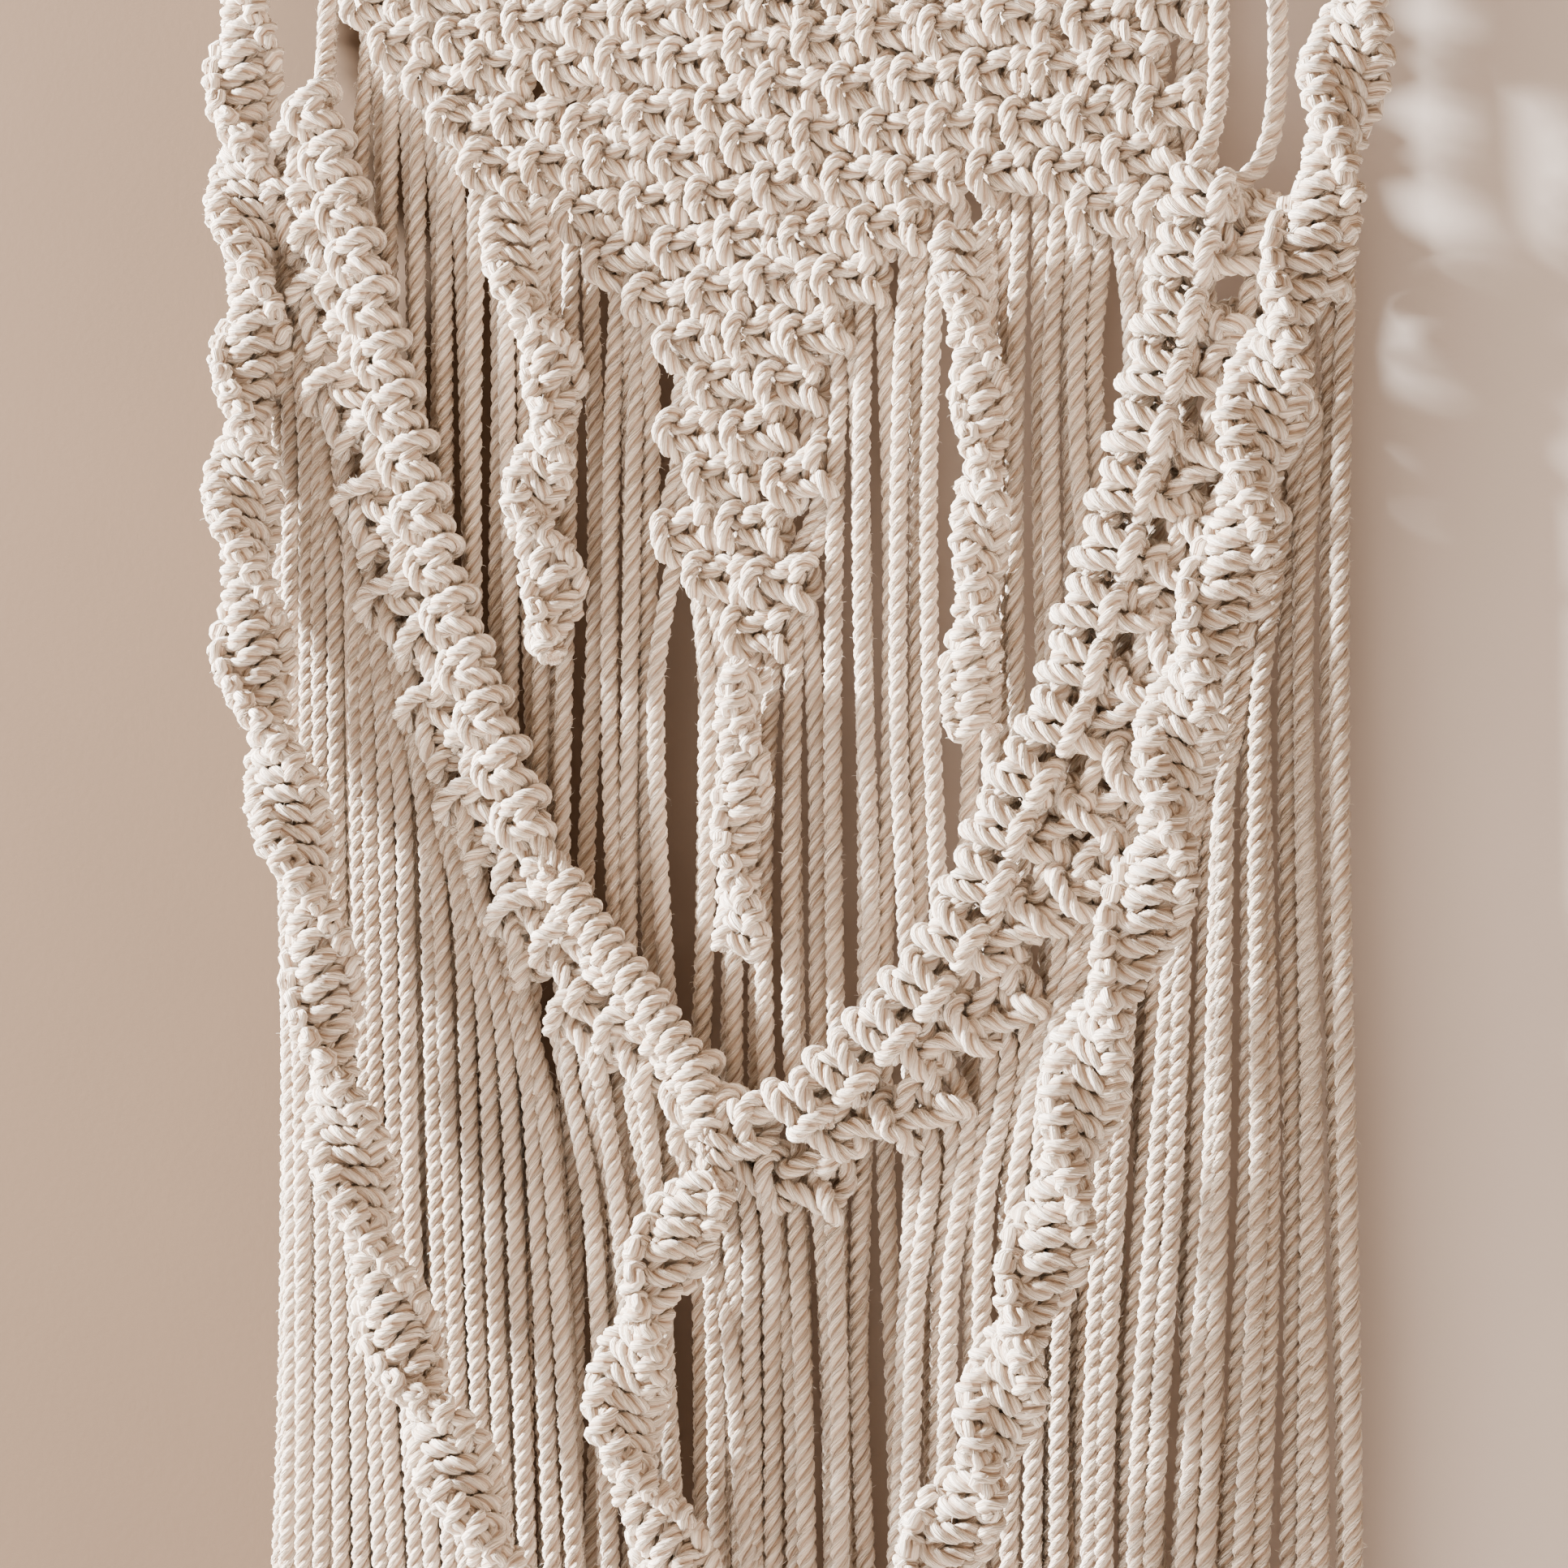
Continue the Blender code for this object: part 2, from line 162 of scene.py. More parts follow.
REAR_SPIRAL_LEFT = [
    (-63, -13.5, -252), (-61.5, -14, -268), (-59, -11.4, -282), (-52.5, -10.6, -296), (-54.5, -10.6, -315),
    (-61, -10.6, -331), (-52.5, -10.6, -347), (-56, -10.6, -366),
]
REAR_SPIRAL_RIGHT = [
    (59, -13.8, -268), (60.5, -11, -294), (64, -10.6, -317), (62.5, -10.6, -344), (60.3, -10.6, -368),
    (60.5, -10.6, -388),
]
REAR_SPIRAL_CENTRE = [
    (1, -10.6, -369), (-2.6, -10.6, -380), (0, -10.6, -396), (-1.5, -10.6, -414), (0.5, -10.6, -432),
    (-1, -10.6, -440),
]
CENTRE_SPIRAL = [
    (-4, -20.5, -492), (-8.5, -25, -501), (-13, -28, -514), (-17, -28, -527), (-22, -29, -544),
    (-19.5, -29, -565), (-8, -29, -583), (-4, -29, -598),
]
TIP_KNOT = (-2.6, -19.5, -486)

# Heights at which each sinnet shows its full width to the viewer
LOBES_LEFT = [-170, -210, -245, -284, -321, -360, -403, -445, -487, -531, -561, -600]
LOBES_RIGHT = [-160, -200, -240, -279, -316, -357, -390, -429, -468, -507, -540, -568, -605]
LOBES_REAR_LEFT = [-266, -295, -321, -346, -372]
LOBES_REAR_RIGHT = [-276, -308, -340, -373]
LOBES_CENTRE = [-471, -507, -542, -583, -620]
HALF_KNOT = 5.4
LOBE_LENGTH = 39.0
ROUTE_STEP = 0.5

# Half of a sinnet's width and half of its depth
GARLAND_HALF_SIZE = (7.9, 3.5)
REAR_LEFT_HALF_SIZE = (6.2, 2.9)
REAR_HALF_SIZE = (5.0, 2.9)
CENTRE_HALF_SIZE = (7.9, 3.4)
CENTRE_TAIL_LENGTH = 38.0

# View and surroundings, in metres
VIEW_TURN = math.radians(27.0)
VIEW_RISE = math.radians(-2.0)
VIEW_DISTANCE = 1.0
TARGET = Vector((0.0057, 0.0, -0.397))
TO_VIEWER = np.array((math.sin(VIEW_TURN), -math.cos(VIEW_TURN), 0.0))
WALL_Y = 0.016
WALL_SIZE = (4.0, 3.2)
# Light and shade painted across the wall, as (x, colour): darker at its left, and lighter at its right to
# make up for the hanging's shadow there
WALL_PAINTED_SHADE_LEFT = (-0.12, (0.078, 0.051, 0.033))
WALL_PAINTED_LIGHT_RIGHT = (0.19, (0.45, 0.388, 0.35))
FLOOR_Z = -1.2
FLOOR_SIZE = (4.0, 4.0)


# ---------------- rope

def unit(v):
    return v / np.linalg.norm(v)


def curve_through(points, per_segment=8):
    """Dense points on the centripetal Catmull-Rom curve through the points."""
    p = np.asarray(points, float)
    keep = np.r_[True, np.linalg.norm(np.diff(p, axis=0), axis=1) > 1e-4]
    p = p[keep]
    chord = np.sqrt(np.linalg.norm(np.diff(p, axis=0), axis=1))[:, None]
    slope = np.diff(p, axis=0) / chord
    tangent = np.empty_like(p)
    tangent[1:-1] = (slope[:-1] * chord[1:] + slope[1:] * chord[:-1]) / (chord[:-1] + chord[1:])
    tangent[0], tangent[-1] = slope[0], slope[-1]
    t = (np.arange(per_segment) / per_segment)[None, :, None]
    a, b = p[:-1, None], p[1:, None]
    ta, tb = (tangent[:-1] * chord)[:, None], (tangent[1:] * chord)[:, None]
    dense = (
        (2 * t**3 - 3 * t**2 + 1) * a + (t**3 - 2 * t**2 + t) * ta
        + (3 * t**2 - 2 * t**3) * b + (t**3 - t**2) * tb
    )
    return np.vstack([dense.reshape(-1, 3), p[-1:]])


def distances(points):
    return np.r_[0.0, np.cumsum(np.linalg.norm(np.diff(points, axis=0), axis=1))]


def tangents(path):
    """Unit directions along evenly spaced points."""
    along = np.gradient(path, axis=0)
    return along / np.linalg.norm(along, axis=1)[:, None]


def even(points, spacing, smooth=2):
    """Evenly spaced points on a smooth curve through the points."""
    dense = curve_through(points)
    s = distances(dense)
    count = max(3, round(s[-1] / spacing) + 1)
    at = np.linspace(0, s[-1], count)
    q = np.column_stack([np.interp(at, s, dense[:, i]) for i in range(3)])
    for _ in range(smooth):
        q[1:-1] = 0.25 * q[:-2] + 0.5 * q[1:-1] + 0.25 * q[2:]
    return q


def dot(a, b):
    return a[0] * b[0] + a[1] * b[1] + a[2] * b[2]


def mirrored(vector, across, size):
    """The vector mirrored in the plane at right angles to `across`, whose squared length is `size`."""
    k = 2 * dot(across, vector) / size
    return [vector[j] - k * across[j] for j in range(3)]


def carried_frames(q):
    """Unit tangents, and unit normals carried along by double reflection, without turning about the curve."""
    tangent = tangents(q)
    start = np.cross(tangent[0], UP if abs(tangent[0][2]) < 0.9 else RIGHT)
    normals = [unit(start).tolist()]
    places, directions = q.tolist(), tangent.tolist()
    for i in range(len(places) - 1):
        step = [b - a for a, b in zip(places[i], places[i + 1])]
        size = dot(step, step) or 1e-12
        normal = mirrored(normals[-1], step, size)
        direction = mirrored(directions[i], step, size)
        bend = [directions[i + 1][j] - direction[j] for j in range(3)]
        size = dot(bend, bend)
        if size > 1e-12:
            normal = mirrored(normal, bend, size)
        normals.append(normal)
    normals = np.array(normals)
    normals -= (normals * tangent).sum(1)[:, None] * tangent
    normals /= np.linalg.norm(normals, axis=1)[:, None]
    return tangent, normals


def rope_profile():
    """Angles and relative radii of a three-strand section, and how far each point is out of the groove."""
    angles = np.radians([120.0 * strand + offset for strand in range(3) for offset in PROFILE_OFFSETS])
    local = np.radians(np.tile(PROFILE_OFFSETS, 3))
    radii = STRAND_OFFSET * np.cos(local) + np.sqrt(STRAND_RADIUS**2 - (STRAND_OFFSET * np.sin(local)) ** 2)
    return angles, radii, (radii - radii.min()) / (radii.max() - radii.min())


ANGLES, RADII, RELIEF = rope_profile()
pieces = {}
fuzz = {}


class Piece:
    """The ropes that make up one mesh."""

    def __init__(self):
        self.points, self.lay, self.relief, self.tone = [], [], [], []
        self.quads, self.caps = [], []
        self.count = 0

    def add_rings(self, rings, lay, tone, capped=(True, True)):
        n, k = rings.shape[:2]
        self.points.append(rings.reshape(-1, 3))
        self.lay.append(lay.reshape(-1, 3))
        self.relief.append(np.tile(RELIEF, n))
        self.tone.append(np.full(n * k, tone))
        base = self.count + k * np.arange(n - 1)[:, None]
        here, there = np.arange(k)[None], np.roll(np.arange(k), -1)[None]
        corners = [base + here, base + there, base + k + there, base + k + here]
        self.quads.append(np.stack(corners, -1).reshape(-1, 4))
        if capped[0]:
            self.caps.append(self.count + np.arange(k)[::-1])
        if capped[1]:
            self.caps.append(self.count + k * (n - 1) + np.arange(k))
        self.count += n * k


def lay_rope(points, into, radius=ROPE_RADIUS, cuts=(), smooth=2):
    """Lays rope along the points into the named piece, and returns the axis of its last part.

    Where `cuts` gives distances along the rope, it is cut there, and its parts go into the pieces in turn.
    """
    names = [into] if isinstance(into, str) else list(into)
    q = even(points, RING_SPACING, smooth)
    tangent, normal = carried_frames(q)
    side = np.cross(tangent, normal)
    s = distances(q)
    pitch = LAY_PITCH * random.uniform(0.93, 1.07)
    angle = ANGLES[None] + (2 * math.pi * s / pitch + random.uniform(0, 2 * math.pi))[:, None]
    reach = RADII * radius
    rings = q[:, None] + reach[None, :, None] * (
        np.cos(angle)[..., None] * normal[:, None] + np.sin(angle)[..., None] * side[:, None]
    )
    start = random.uniform(0, 900, 3)
    lay = np.empty_like(rings)
    lay[..., 0] = start[0] + reach * np.cos(ANGLES)
    lay[..., 1] = start[1] + reach * np.sin(ANGLES)
    lay[..., 2] = (start[2] + s)[:, None]
    tone = random.uniform(0, 1)
    final = len(s) - 1
    edges = [0, *[int(np.clip(round(cut / s[-1] * final), 2, final - 2)) for cut in cuts], final]
    for number, name in enumerate(names):
        first, last = edges[number], edges[number + 1]
        pieces.setdefault(name, Piece()).add_rings(
            rings[first : last + 1], lay[first : last + 1], tone, (number == 0, number == len(names) - 1)
        )
        count = round((s[last] - s[first]) * FUZZ_PER_MM)
        ring = random.integers(first, last, count)
        around = random.integers(0, len(ANGLES), count)
        roots = rings[ring, around]
        out = (roots - q[ring]) / reach[around, None]
        fuzz.setdefault(name.split("_rope")[0], []).append(np.stack([roots, out, tangent[ring]], 1))
    return q[edges[-2] :]


# ---------------- knots

# Square knot, as (right, front, down) from its centre. The left cord crosses in front twice; the right cord
# crosses behind and passes over the left cord at the left edge.
SQUARE_LEFT = [
    (-6.2, 0.0, -5.4), (-5.8, 0.2, -3.4), (-4.4, 2.4, -1.2), (-1.8, 4.2, -1.7), (0.8, 4.4, -3.0),
    (3.4, 3.4, -4.3), (5.8, 0.8, -4.4), (7.0, -1.0, -1.6), (7.0, -1.0, 1.6), (5.8, 0.8, 4.4), (3.4, 3.4, 4.3),
    (0.8, 4.4, 3.0), (-1.8, 4.2, 1.7), (-4.4, 2.4, 1.2), (-5.8, 0.2, 3.4), (-6.2, 0.0, 5.4),
]
SQUARE_RIGHT = [
    (6.4, 0.4, -6.4), (6.8, 2.8, -5.6), (6.2, 4.9, -4.2), (4.9, 4.2, -2.0), (3.6, 0.4, -1.2),
    (2.2, -3.4, -1.6), (0.0, -4.4, -2.2), (-2.4, -3.6, -3.4), (-3.8, -0.4, -4.9), (-5.0, 4.2, -4.9),
    (-5.9, 6.8, -2.9), (-6.3, 7.4, 0.0), (-5.9, 6.8, 2.9), (-5.0, 4.2, 4.9), (-3.8, -0.4, 4.9),
    (-2.4, -3.6, 3.4), (0.0, -4.4, 2.2), (2.2, -3.4, 1.6), (3.6, 0.4, 1.2), (4.9, 4.2, 2.0), (6.2, 4.9, 4.2),
    (6.8, 2.8, 5.6), (6.4, 0.4, 6.4),
]
# The two cords inside it: how far each is from the middle, and half the knot's height
SQUARE_CORE = 2.3
SQUARE_HALF_HEIGHT = 5.4

# Half knot, as shares of its half width, half depth and height: the left cord passes over and ends at the
# right, and the right cord passes under and ends at the left.
HALF_OVER = [
    (-1.0, 0.1, 0.1), (-0.85, 0.15, 0.3), (-0.45, 0.8, 0.36), (0.0, 1.1, 0.5), (0.4, 0.95, 0.64),
    (0.7, 0.4, 0.74), (0.9, -0.2, 0.8), (1.08, -0.2, 0.9),
]
HALF_UNDER = [
    (1.05, 0.1, 0.0), (1.0, 0.7, 0.3), (0.85, 0.9, 0.6), (0.62, 0.2, 0.95), (0.3, -0.9, 0.85),
    (0.0, -1.15, 0.6), (-0.4, -0.9, 0.3), (-0.62, -0.1, 0.04), (-0.68, 0.7, 0.0), (-0.86, 1.0, 0.25),
    (-1.1, 0.6, 0.6), (-1.08, 0.1, 0.85),
]
HALF_CORE = 0.3


def placed(template, centre, right, front, down, jitter=0.25):
    """The template's points set out from the centre along three axes, each moved a little at random."""
    template = np.asarray(template, float)
    template = template + random.normal(0, jitter, template.shape)
    return centre + template @ np.array([right, front, down])


def turned(right, down, angle):
    """The two axes turned by an angle in their own plane."""
    c, s = math.cos(angle), math.sin(angle)
    return c * right + s * down, c * down - s * right


def square_knot(cords, members, centre, right, down, front=FRONT, scale=1.0, tilt=0.16):
    """Appends a square knot to four cords, which are lists of points from top to bottom."""
    right, down = turned(right, down, random.normal(0, tilt))
    centre = np.asarray(centre, float) + random.normal(0, 0.6, 3) * (1, 0.8, 1)
    axes = (right * scale, front * min(scale, 1.0), down * scale)
    for member, shape in ((members[0], SQUARE_LEFT), (members[3], SQUARE_RIGHT)):
        cords[member].extend(placed(shape, centre, *axes, jitter=0.4))
    for member, x in ((members[1], -SQUARE_CORE), (members[2], SQUARE_CORE)):
        shape = [(x, 0, -SQUARE_HALF_HEIGHT), (x, 1.4, 0), (x, 0, SQUARE_HALF_HEIGHT)]
        cords[member].extend(placed(shape, centre, *axes))


def sinnet(route, lobes, into, half_size=GARLAND_HALF_SIZE, radius=ROPE_RADIUS, first_turn=0.0, tail=0.0):
    """A spiral of half knots along a route, widest to the viewer at the lobes' heights.

    Without lobes it turns evenly. `half_size` is half its width and half its depth, and `tail` is how far its
    four cords hang on below it.
    """
    path = even(route, ROUTE_STEP, 0)
    s = distances(path)
    tangent = tangents(path)
    if lobes:
        turns = np.interp(-path[:, 2], -np.array(lobes, float), math.pi * np.arange(len(lobes)))
    else:
        turns = math.pi * s / LOBE_LENGTH + first_turn
    left, right, core = [], [], ([], [])
    for knot in range(int(s[-1] / HALF_KNOT)):
        start, end = [min(round((knot + n) * HALF_KNOT / ROUTE_STEP), len(path) - 1) for n in (0, 1)]
        middle = (start + end) // 2
        down = tangent[middle]
        front = unit(TO_VIEWER - (TO_VIEWER @ down) * down)
        across, near = turned(np.cross(front, down), front, -turns[middle])
        size = 1 + random.normal(0, 0.025)
        axes = (across * half_size[0] * size, near * half_size[1] * size, path[end] - path[start])
        over, under = (right, left) if knot % 2 else (left, right)
        over.extend(placed(HALF_OVER, path[start], *axes, jitter=0.02))
        under.extend(placed(HALF_UNDER, path[start], *axes, jitter=0.02))
        for cord, x in zip(core, (-HALF_CORE, HALF_CORE)):
            cord.append(path[start] + x * axes[0])
    for number, cord in enumerate((left, right, *core)):
        if tail:
            drop = -tail * random.uniform(0.9, 1.0)
            spread = np.array(((number - 1.5) * 3.4, (-2.0, 2.0)[number % 2], drop))
            cord.extend(path[-1] + spread * share for share in ((0.5, 1, 0.3), (0.9, 1, 0.7), (1, 1, 1)))
        lay_rope(cord, into, radius, smooth=1)


# ---------------- rear panel

# Gaps between the curtain's cords, as (x, top, bottom, half of the width), and how far aside cords make room
CURTAIN_GAPS = [(-23.5, -300, -470, 4.6), (50.0, -266, -420, 4.4), (93.5, -268, -330, 3.6)]
GAP_REACH = 16.0

# The least height of a knot's centre above the net's edge, and the length over which a cord leaves its knot
KNOT_ABOVE_EDGE = 4.0
SETTLE_LENGTH = 60.0

# Course of a lark's head round the dowel, as (degrees from the top towards the viewer, distance outside the
# closest fit). The bar is its front loop, which crosses over both strands.
HEAD_END_Z = DOWEL_Z - 19.0
HEAD_TURN = [
    (165, 0.6), (135, 0.3), (105, 0), (75, 0), (45, 0), (15, 0), (-15, 0), (-45, 0), (-75, 0), (-105, 0),
    (-135, 0), (-162, 0.2), (-188, 1.6), (-208, 4.2),
]
HEAD_BAR_ANGLE = 148.0
HEAD_BAR_OUT = 5.4
HEAD_GAP = 0.3


def panel_edge(x):
    """Height of the net's lower edge at x."""
    return np.interp(x, [p[0] for p in PANEL_EDGE], [p[1] for p in PANEL_EDGE])


def lark_head(x_left, x_right, into):
    """The loop of a folded cord round the dowel, from the left strand's top to the right strand's."""
    reach = DOWEL_RADIUS + ROPE_RADIUS + HEAD_GAP
    half = [(0.0, HEAD_END_Z - DOWEL_Z), (-2.6, HEAD_END_Z - DOWEL_Z + 3.6)]
    for degrees, out in HEAD_TURN:
        a = math.radians(degrees)
        half.append((-(reach + out) * math.sin(a), (reach + out) * math.cos(a)))
    left = [(x_left, y, DOWEL_Z + z) for y, z in half]
    right = [(x_right, y, DOWEL_Z + z) for y, z in half]
    a = math.radians(HEAD_BAR_ANGLE)
    y, z = -(reach + HEAD_BAR_OUT) * math.sin(a), DOWEL_Z + (reach + HEAD_BAR_OUT) * math.cos(a)
    bar = [(x_left + 0.4, y, z), ((x_left + x_right) / 2, y - 0.6, z - 0.3), (x_right - 0.4, y, z)]
    lay_rope(left + bar + right[::-1], into)


def hanging(top, bottom, wander=1.8, sway=0.0, step=36.0):
    """Points of a cord that hangs from its top to its bottom.

    `wander` is the size of its own bends, and `sway` of those it shares with its neighbours.
    """
    top, bottom = np.asarray(top, float), np.asarray(bottom, float)
    length = top[2] - bottom[2]
    count = max(2, int(length / step))
    t = np.arange(1, count + 1) / count
    settle = 1 - (1 - np.clip(t * length / SETTLE_LENGTH, 0, 1)) ** 2
    fall = top + (bottom - top) * t[:, None]
    fall[:, 0] = top[0] + (bottom[0] - top[0]) * (0.25 * settle + 0.75 * t)
    fall[:, 1] = top[1] + (bottom[1] - top[1]) * settle
    phase, rate = random.uniform(0, 6.28, 2), random.uniform(0.012, 0.034, 2)
    freedom = np.clip(t * 3, 0, 1)
    fall[:, 0] += wander * freedom * np.sin(phase[0] + rate[0] * t * length)
    fall[:, 1] += 0.5 * wander * freedom * np.sin(phase[1] + rate[1] * t * length)
    fall[:, 0] += sway * freedom * np.sin(fall[:, 0] / 14.0 + fall[:, 2] / 62.0)
    return list(fall)


def parted(point):
    """The point moved aside where the curtain's cords part round a gap."""
    x, y, z = point
    for centre, top, bottom, half in CURTAIN_GAPS:
        rise = math.sin(math.pi * float(np.clip((top - z) / (top - bottom), 0, 1))) ** 0.6
        away = x - centre
        if abs(away) < GAP_REACH:
            x += math.copysign(half * rise * (1 - abs(away) / GAP_REACH), away)
    return np.array((x, y, z))


def rear_panel():
    """The net's cords, tied row by row and hanging on as the curtain, and their lark's heads on the dowel."""
    xs = (np.arange(PANEL_CORDS) - (PANEL_CORDS - 1) / 2) * CORD_PITCH
    cords = [[np.array((x, 0.0, HEAD_END_Z))] for x in xs]
    for row in range(ROW_COUNT):
        z = FIRST_ROW_Z - ROW_STEP * row
        for first in range(0 if row % 2 else 2, PANEL_CORDS - KNOT_CORDS + 1, KNOT_CORDS):
            members = range(first, first + KNOT_CORDS)
            x = xs[first : first + KNOT_CORDS].mean()
            if z - KNOT_ABOVE_EDGE > panel_edge(x):
                pull = np.array((math.sin(z / 13.0 + x / 29.0), 0.0, math.sin(x / 17.0 - z / 37.0)))
                centre = NET_PULL * pull + (x, 0.0, z) + random.normal(0, 0.4, 3) * (1, 0, 1)
                square_knot(cords, members, centre, RIGHT, DOWN)
    for j, (x, points) in enumerate(zip(xs, cords)):
        cut = distances(curve_through(points))[-1]
        end = np.array((x, CURTAIN_LAYERS[j % 2], CURTAIN_END_Z)) + random.normal(0, (1.0, 0.4, 2.5))
        panel = f"knotted_panel_rope_{j // CORDS_PER_PANEL_PIECE + 1}"
        into = (panel, f"curtain_cords_{j // KNOT_CORDS + 1:02d}_rope")
        fall = [parted(point) for point in hanging(points[-1], end, step=24.0)]
        lay_rope([*points, *fall], into, CURTAIN_ROPE_RADIUS, cuts=(cut,))
    for j in range(0, PANEL_CORDS, 2):
        lark_head(xs[j], xs[j + 1], "panel_lark_heads_rope")


# ---------------- swag

# How a cord leaves the ridge: it bends down from the first of these lengths over the second, and comes to the
# swag's own depth over the third
SWAG_BEND_START = 6.0
SWAG_BEND_LENGTH = 40.0
SWAG_SETTLE_LENGTH = 14.0

# The fringe's two layers: how far each is from the middle, and the share of its arm's recess that it keeps
LAYER_DEPTH = 2.5
FRINGE_RECESS = 0.8

# The wound lower stretch of the left arm, and its course from the arm's end to the tip knot
COIL_TOP_Z = -415.0
COIL_RADIUS = 3.6
COIL_STEP = 4.9
TIP_LEAD = [(-6.5, -18.6, -475.5), (-3.4, -21.0, -484.0)]

# The tip knot's turns, as (radius, height above its centre), and how much of its hanging cords is in the knot
TIP_TURNS = [(4.0, 4.6), (3.4, 0.4), (3.0, -3.6)]
TIP_CORDS = 4
TIP_CUT = 26.0

# One unit of the ridge, a lark's head on the holding cords, as (along, front, outwards) from its centre
RIDGE_LOOP_REACH = 11.4
RIDGE_LOOP = [
    (-2.6, 0.6, 11.4), (-2.4, 3.2, 9.4), (-2.9, 5.2, 6.2), (-3.5, 5.9, 2.4), (-4.0, 4.6, -1.6),
    (-4.4, 0.4, -3.8), (-4.4, -3.6, -1.8), (-4.3, -4.4, 2.4), (-4.8, -2.6, 6.4), (-5.2, 1.0, 8.8),
    (-3.8, 4.2, 9.6), (-1.2, 5.8, 10.0), (1.4, 5.8, 10.0), (3.9, 4.2, 9.6), (5.0, 1.0, 8.8), (4.4, -3.0, 6.6),
    (4.1, -4.2, 3.0), (4.2, -2.6, -0.4), (4.1, 1.2, -2.0), (3.6, 4.4, -0.6), (2.9, 5.4, 2.8), (2.5, 4.6, 6.8),
    (2.4, 1.4, 10.8),
]
# The outer holding cord's arch in a unit, its place where it doesn't arch, the inner one's place, and the two
# cords that start from a unit that is wound over
HOLDER_ARCH = [(-3.6, 1.6, 0.9), (-0.6, 4.8, -0.1), (1.6, 4.4, 2.7), (4.6, 2.4, 1.9)]
HOLDER_OUTER = [(0, 0, -1.2)]
HOLDER_INNER = [(0, 0.2, 1.6)]
WOUND_UNIT = [[(x, -1.0, 0.0), (x, 0.5, 7.5)] for x in (-3.4, 3.4)]

# Rows of square knots outside the ridge, as (distance outwards from the end of its loops, first cord)
SWAG_ROWS = [(1.6, 0), (10.2, 2), (18.8, 0)]
SWAG_KNOT_SCALE = 1.32


def smoothstep(t):
    t = np.clip(t, 0.0, 1.0)
    return t * t * (3 - 2 * t)


def swag_depth(x):
    """Y of the swag's knots and fringe at x: flat, and falling back at the sides."""
    return -SWAG_DEPTH + SWAG_FALL_BACK * np.clip((abs(x) - SWAG_FOLD_X) / SWAG_FOLD_WIDTH, 0, 1)


class Arm:
    """One arm of the swag, with places by distance along its ridge, from its left end, and outwards from it.

    `widths` gives the rows of knots at shares of its length, `loop_reach` how far the ridge's loops stand
    out, and `recess` how far behind the swag's depth its knots lie.
    """

    def __init__(self, side, ridge, widths, loop_reach, recess):
        self.side = side
        self.widths = widths
        self.loop_reach = loop_reach
        self.recess = recess
        self.path = even(ridge, ROUTE_STEP, 3)
        self.s = distances(self.path)
        self.tangent = tangents(self.path)
        count = int(self.s[-1] / UNIT)
        self.centres = (self.s[-1] - count * UNIT) / 2 + UNIT * (np.arange(count) + 0.5)

    def index(self, s):
        return int(np.clip(np.searchsorted(self.s, s), 0, len(self.s) - 1))

    def ridge(self, s):
        i = self.index(s)
        return self.path[i] + (s - self.s[i]) * self.tangent[i]

    def axes(self, s):
        """Along the ridge, towards the viewer, and outwards from it."""
        right = self.tangent[self.index(s)]
        front = unit(FRONT - (FRONT @ right) * right)
        return right, front, np.cross(right, front)

    def at(self, s, reach):
        """Where a cord from the ridge at s is after `reach` of its length, and its direction there."""
        place = self.ridge(s)
        depth, outward = place[1], self.axes(s)[2]
        steps = max(1, round(reach))
        for step in range(steps):
            gone = (step + 0.5) * reach / steps
            bend = smoothstep((gone - SWAG_BEND_START) / SWAG_BEND_LENGTH)
            direction = unit(outward + (DOWN - outward) * bend)
            place = place + direction * reach / steps
        settled = smoothstep(reach / SWAG_SETTLE_LENGTH)
        place[1] = depth + (swag_depth(place[0]) + self.recess - depth) * settled
        return place, direction

    def wound(self, s):
        """Whether the ridge at s is hidden by the cord wound round it."""
        return self.side == "left" and self.ridge(s)[2] < COIL_TOP_Z

    def rows_at(self, s):
        """How many rows of knots lie outside the ridge at s."""
        return np.interp(s / self.s[-1], *zip(*self.widths))


ARM_LEFT = Arm("left", RIDGE_LEFT, [(0.0, 2.0), (1.0, 2.0)], 8.4, 2.4)
ARM_RIGHT = Arm(
    "right", [(-13.0, -11.0, -462.0), (-3.0, -12.6, -473.5), *RIDGE_RIGHT[::-1]],
    [(0.0, 2.0), (0.28, 2.0), (0.42, 3.0), (1.0, 3.0)], RIDGE_LOOP_REACH, 1.6,
)


def ridge_units(arm):
    """The lark's heads along the ridge. Returns the two ends of each, in order, as the starts of cords."""
    cords = []
    for s in arm.centres:
        place, (right, front, out) = arm.ridge(s), arm.axes(s)
        if arm.wound(s):
            cords += [list(placed(cord, place, right, front, out)) for cord in WOUND_UNIT]
            continue
        loop = [(along, near, reach * arm.loop_reach / RIDGE_LOOP_REACH) for along, near, reach in RIDGE_LOOP]
        made = placed(loop, place, right, front, out, 0.2)
        lay_rope(made, f"swag_ridge_{arm.side}_rope")
        cords += [[made[0]], [made[-1]]]
    return cords


def ridge_holders(arm):
    """The holding cords inside the ridge, of which one arches out between the wraps."""
    outer, inner = [arm.path[0]], [arm.path[0]]
    for s in arm.centres:
        here = (arm.ridge(s), *arm.axes(s))
        outer.extend(placed(HOLDER_OUTER if arm.wound(s) else HOLDER_ARCH, *here, 0.15))
        inner.extend(placed(HOLDER_INNER, *here, 0.1))
    for cord in (outer, inner):
        lay_rope([*cord, arm.path[-1]], f"swag_ridge_{arm.side}_rope")


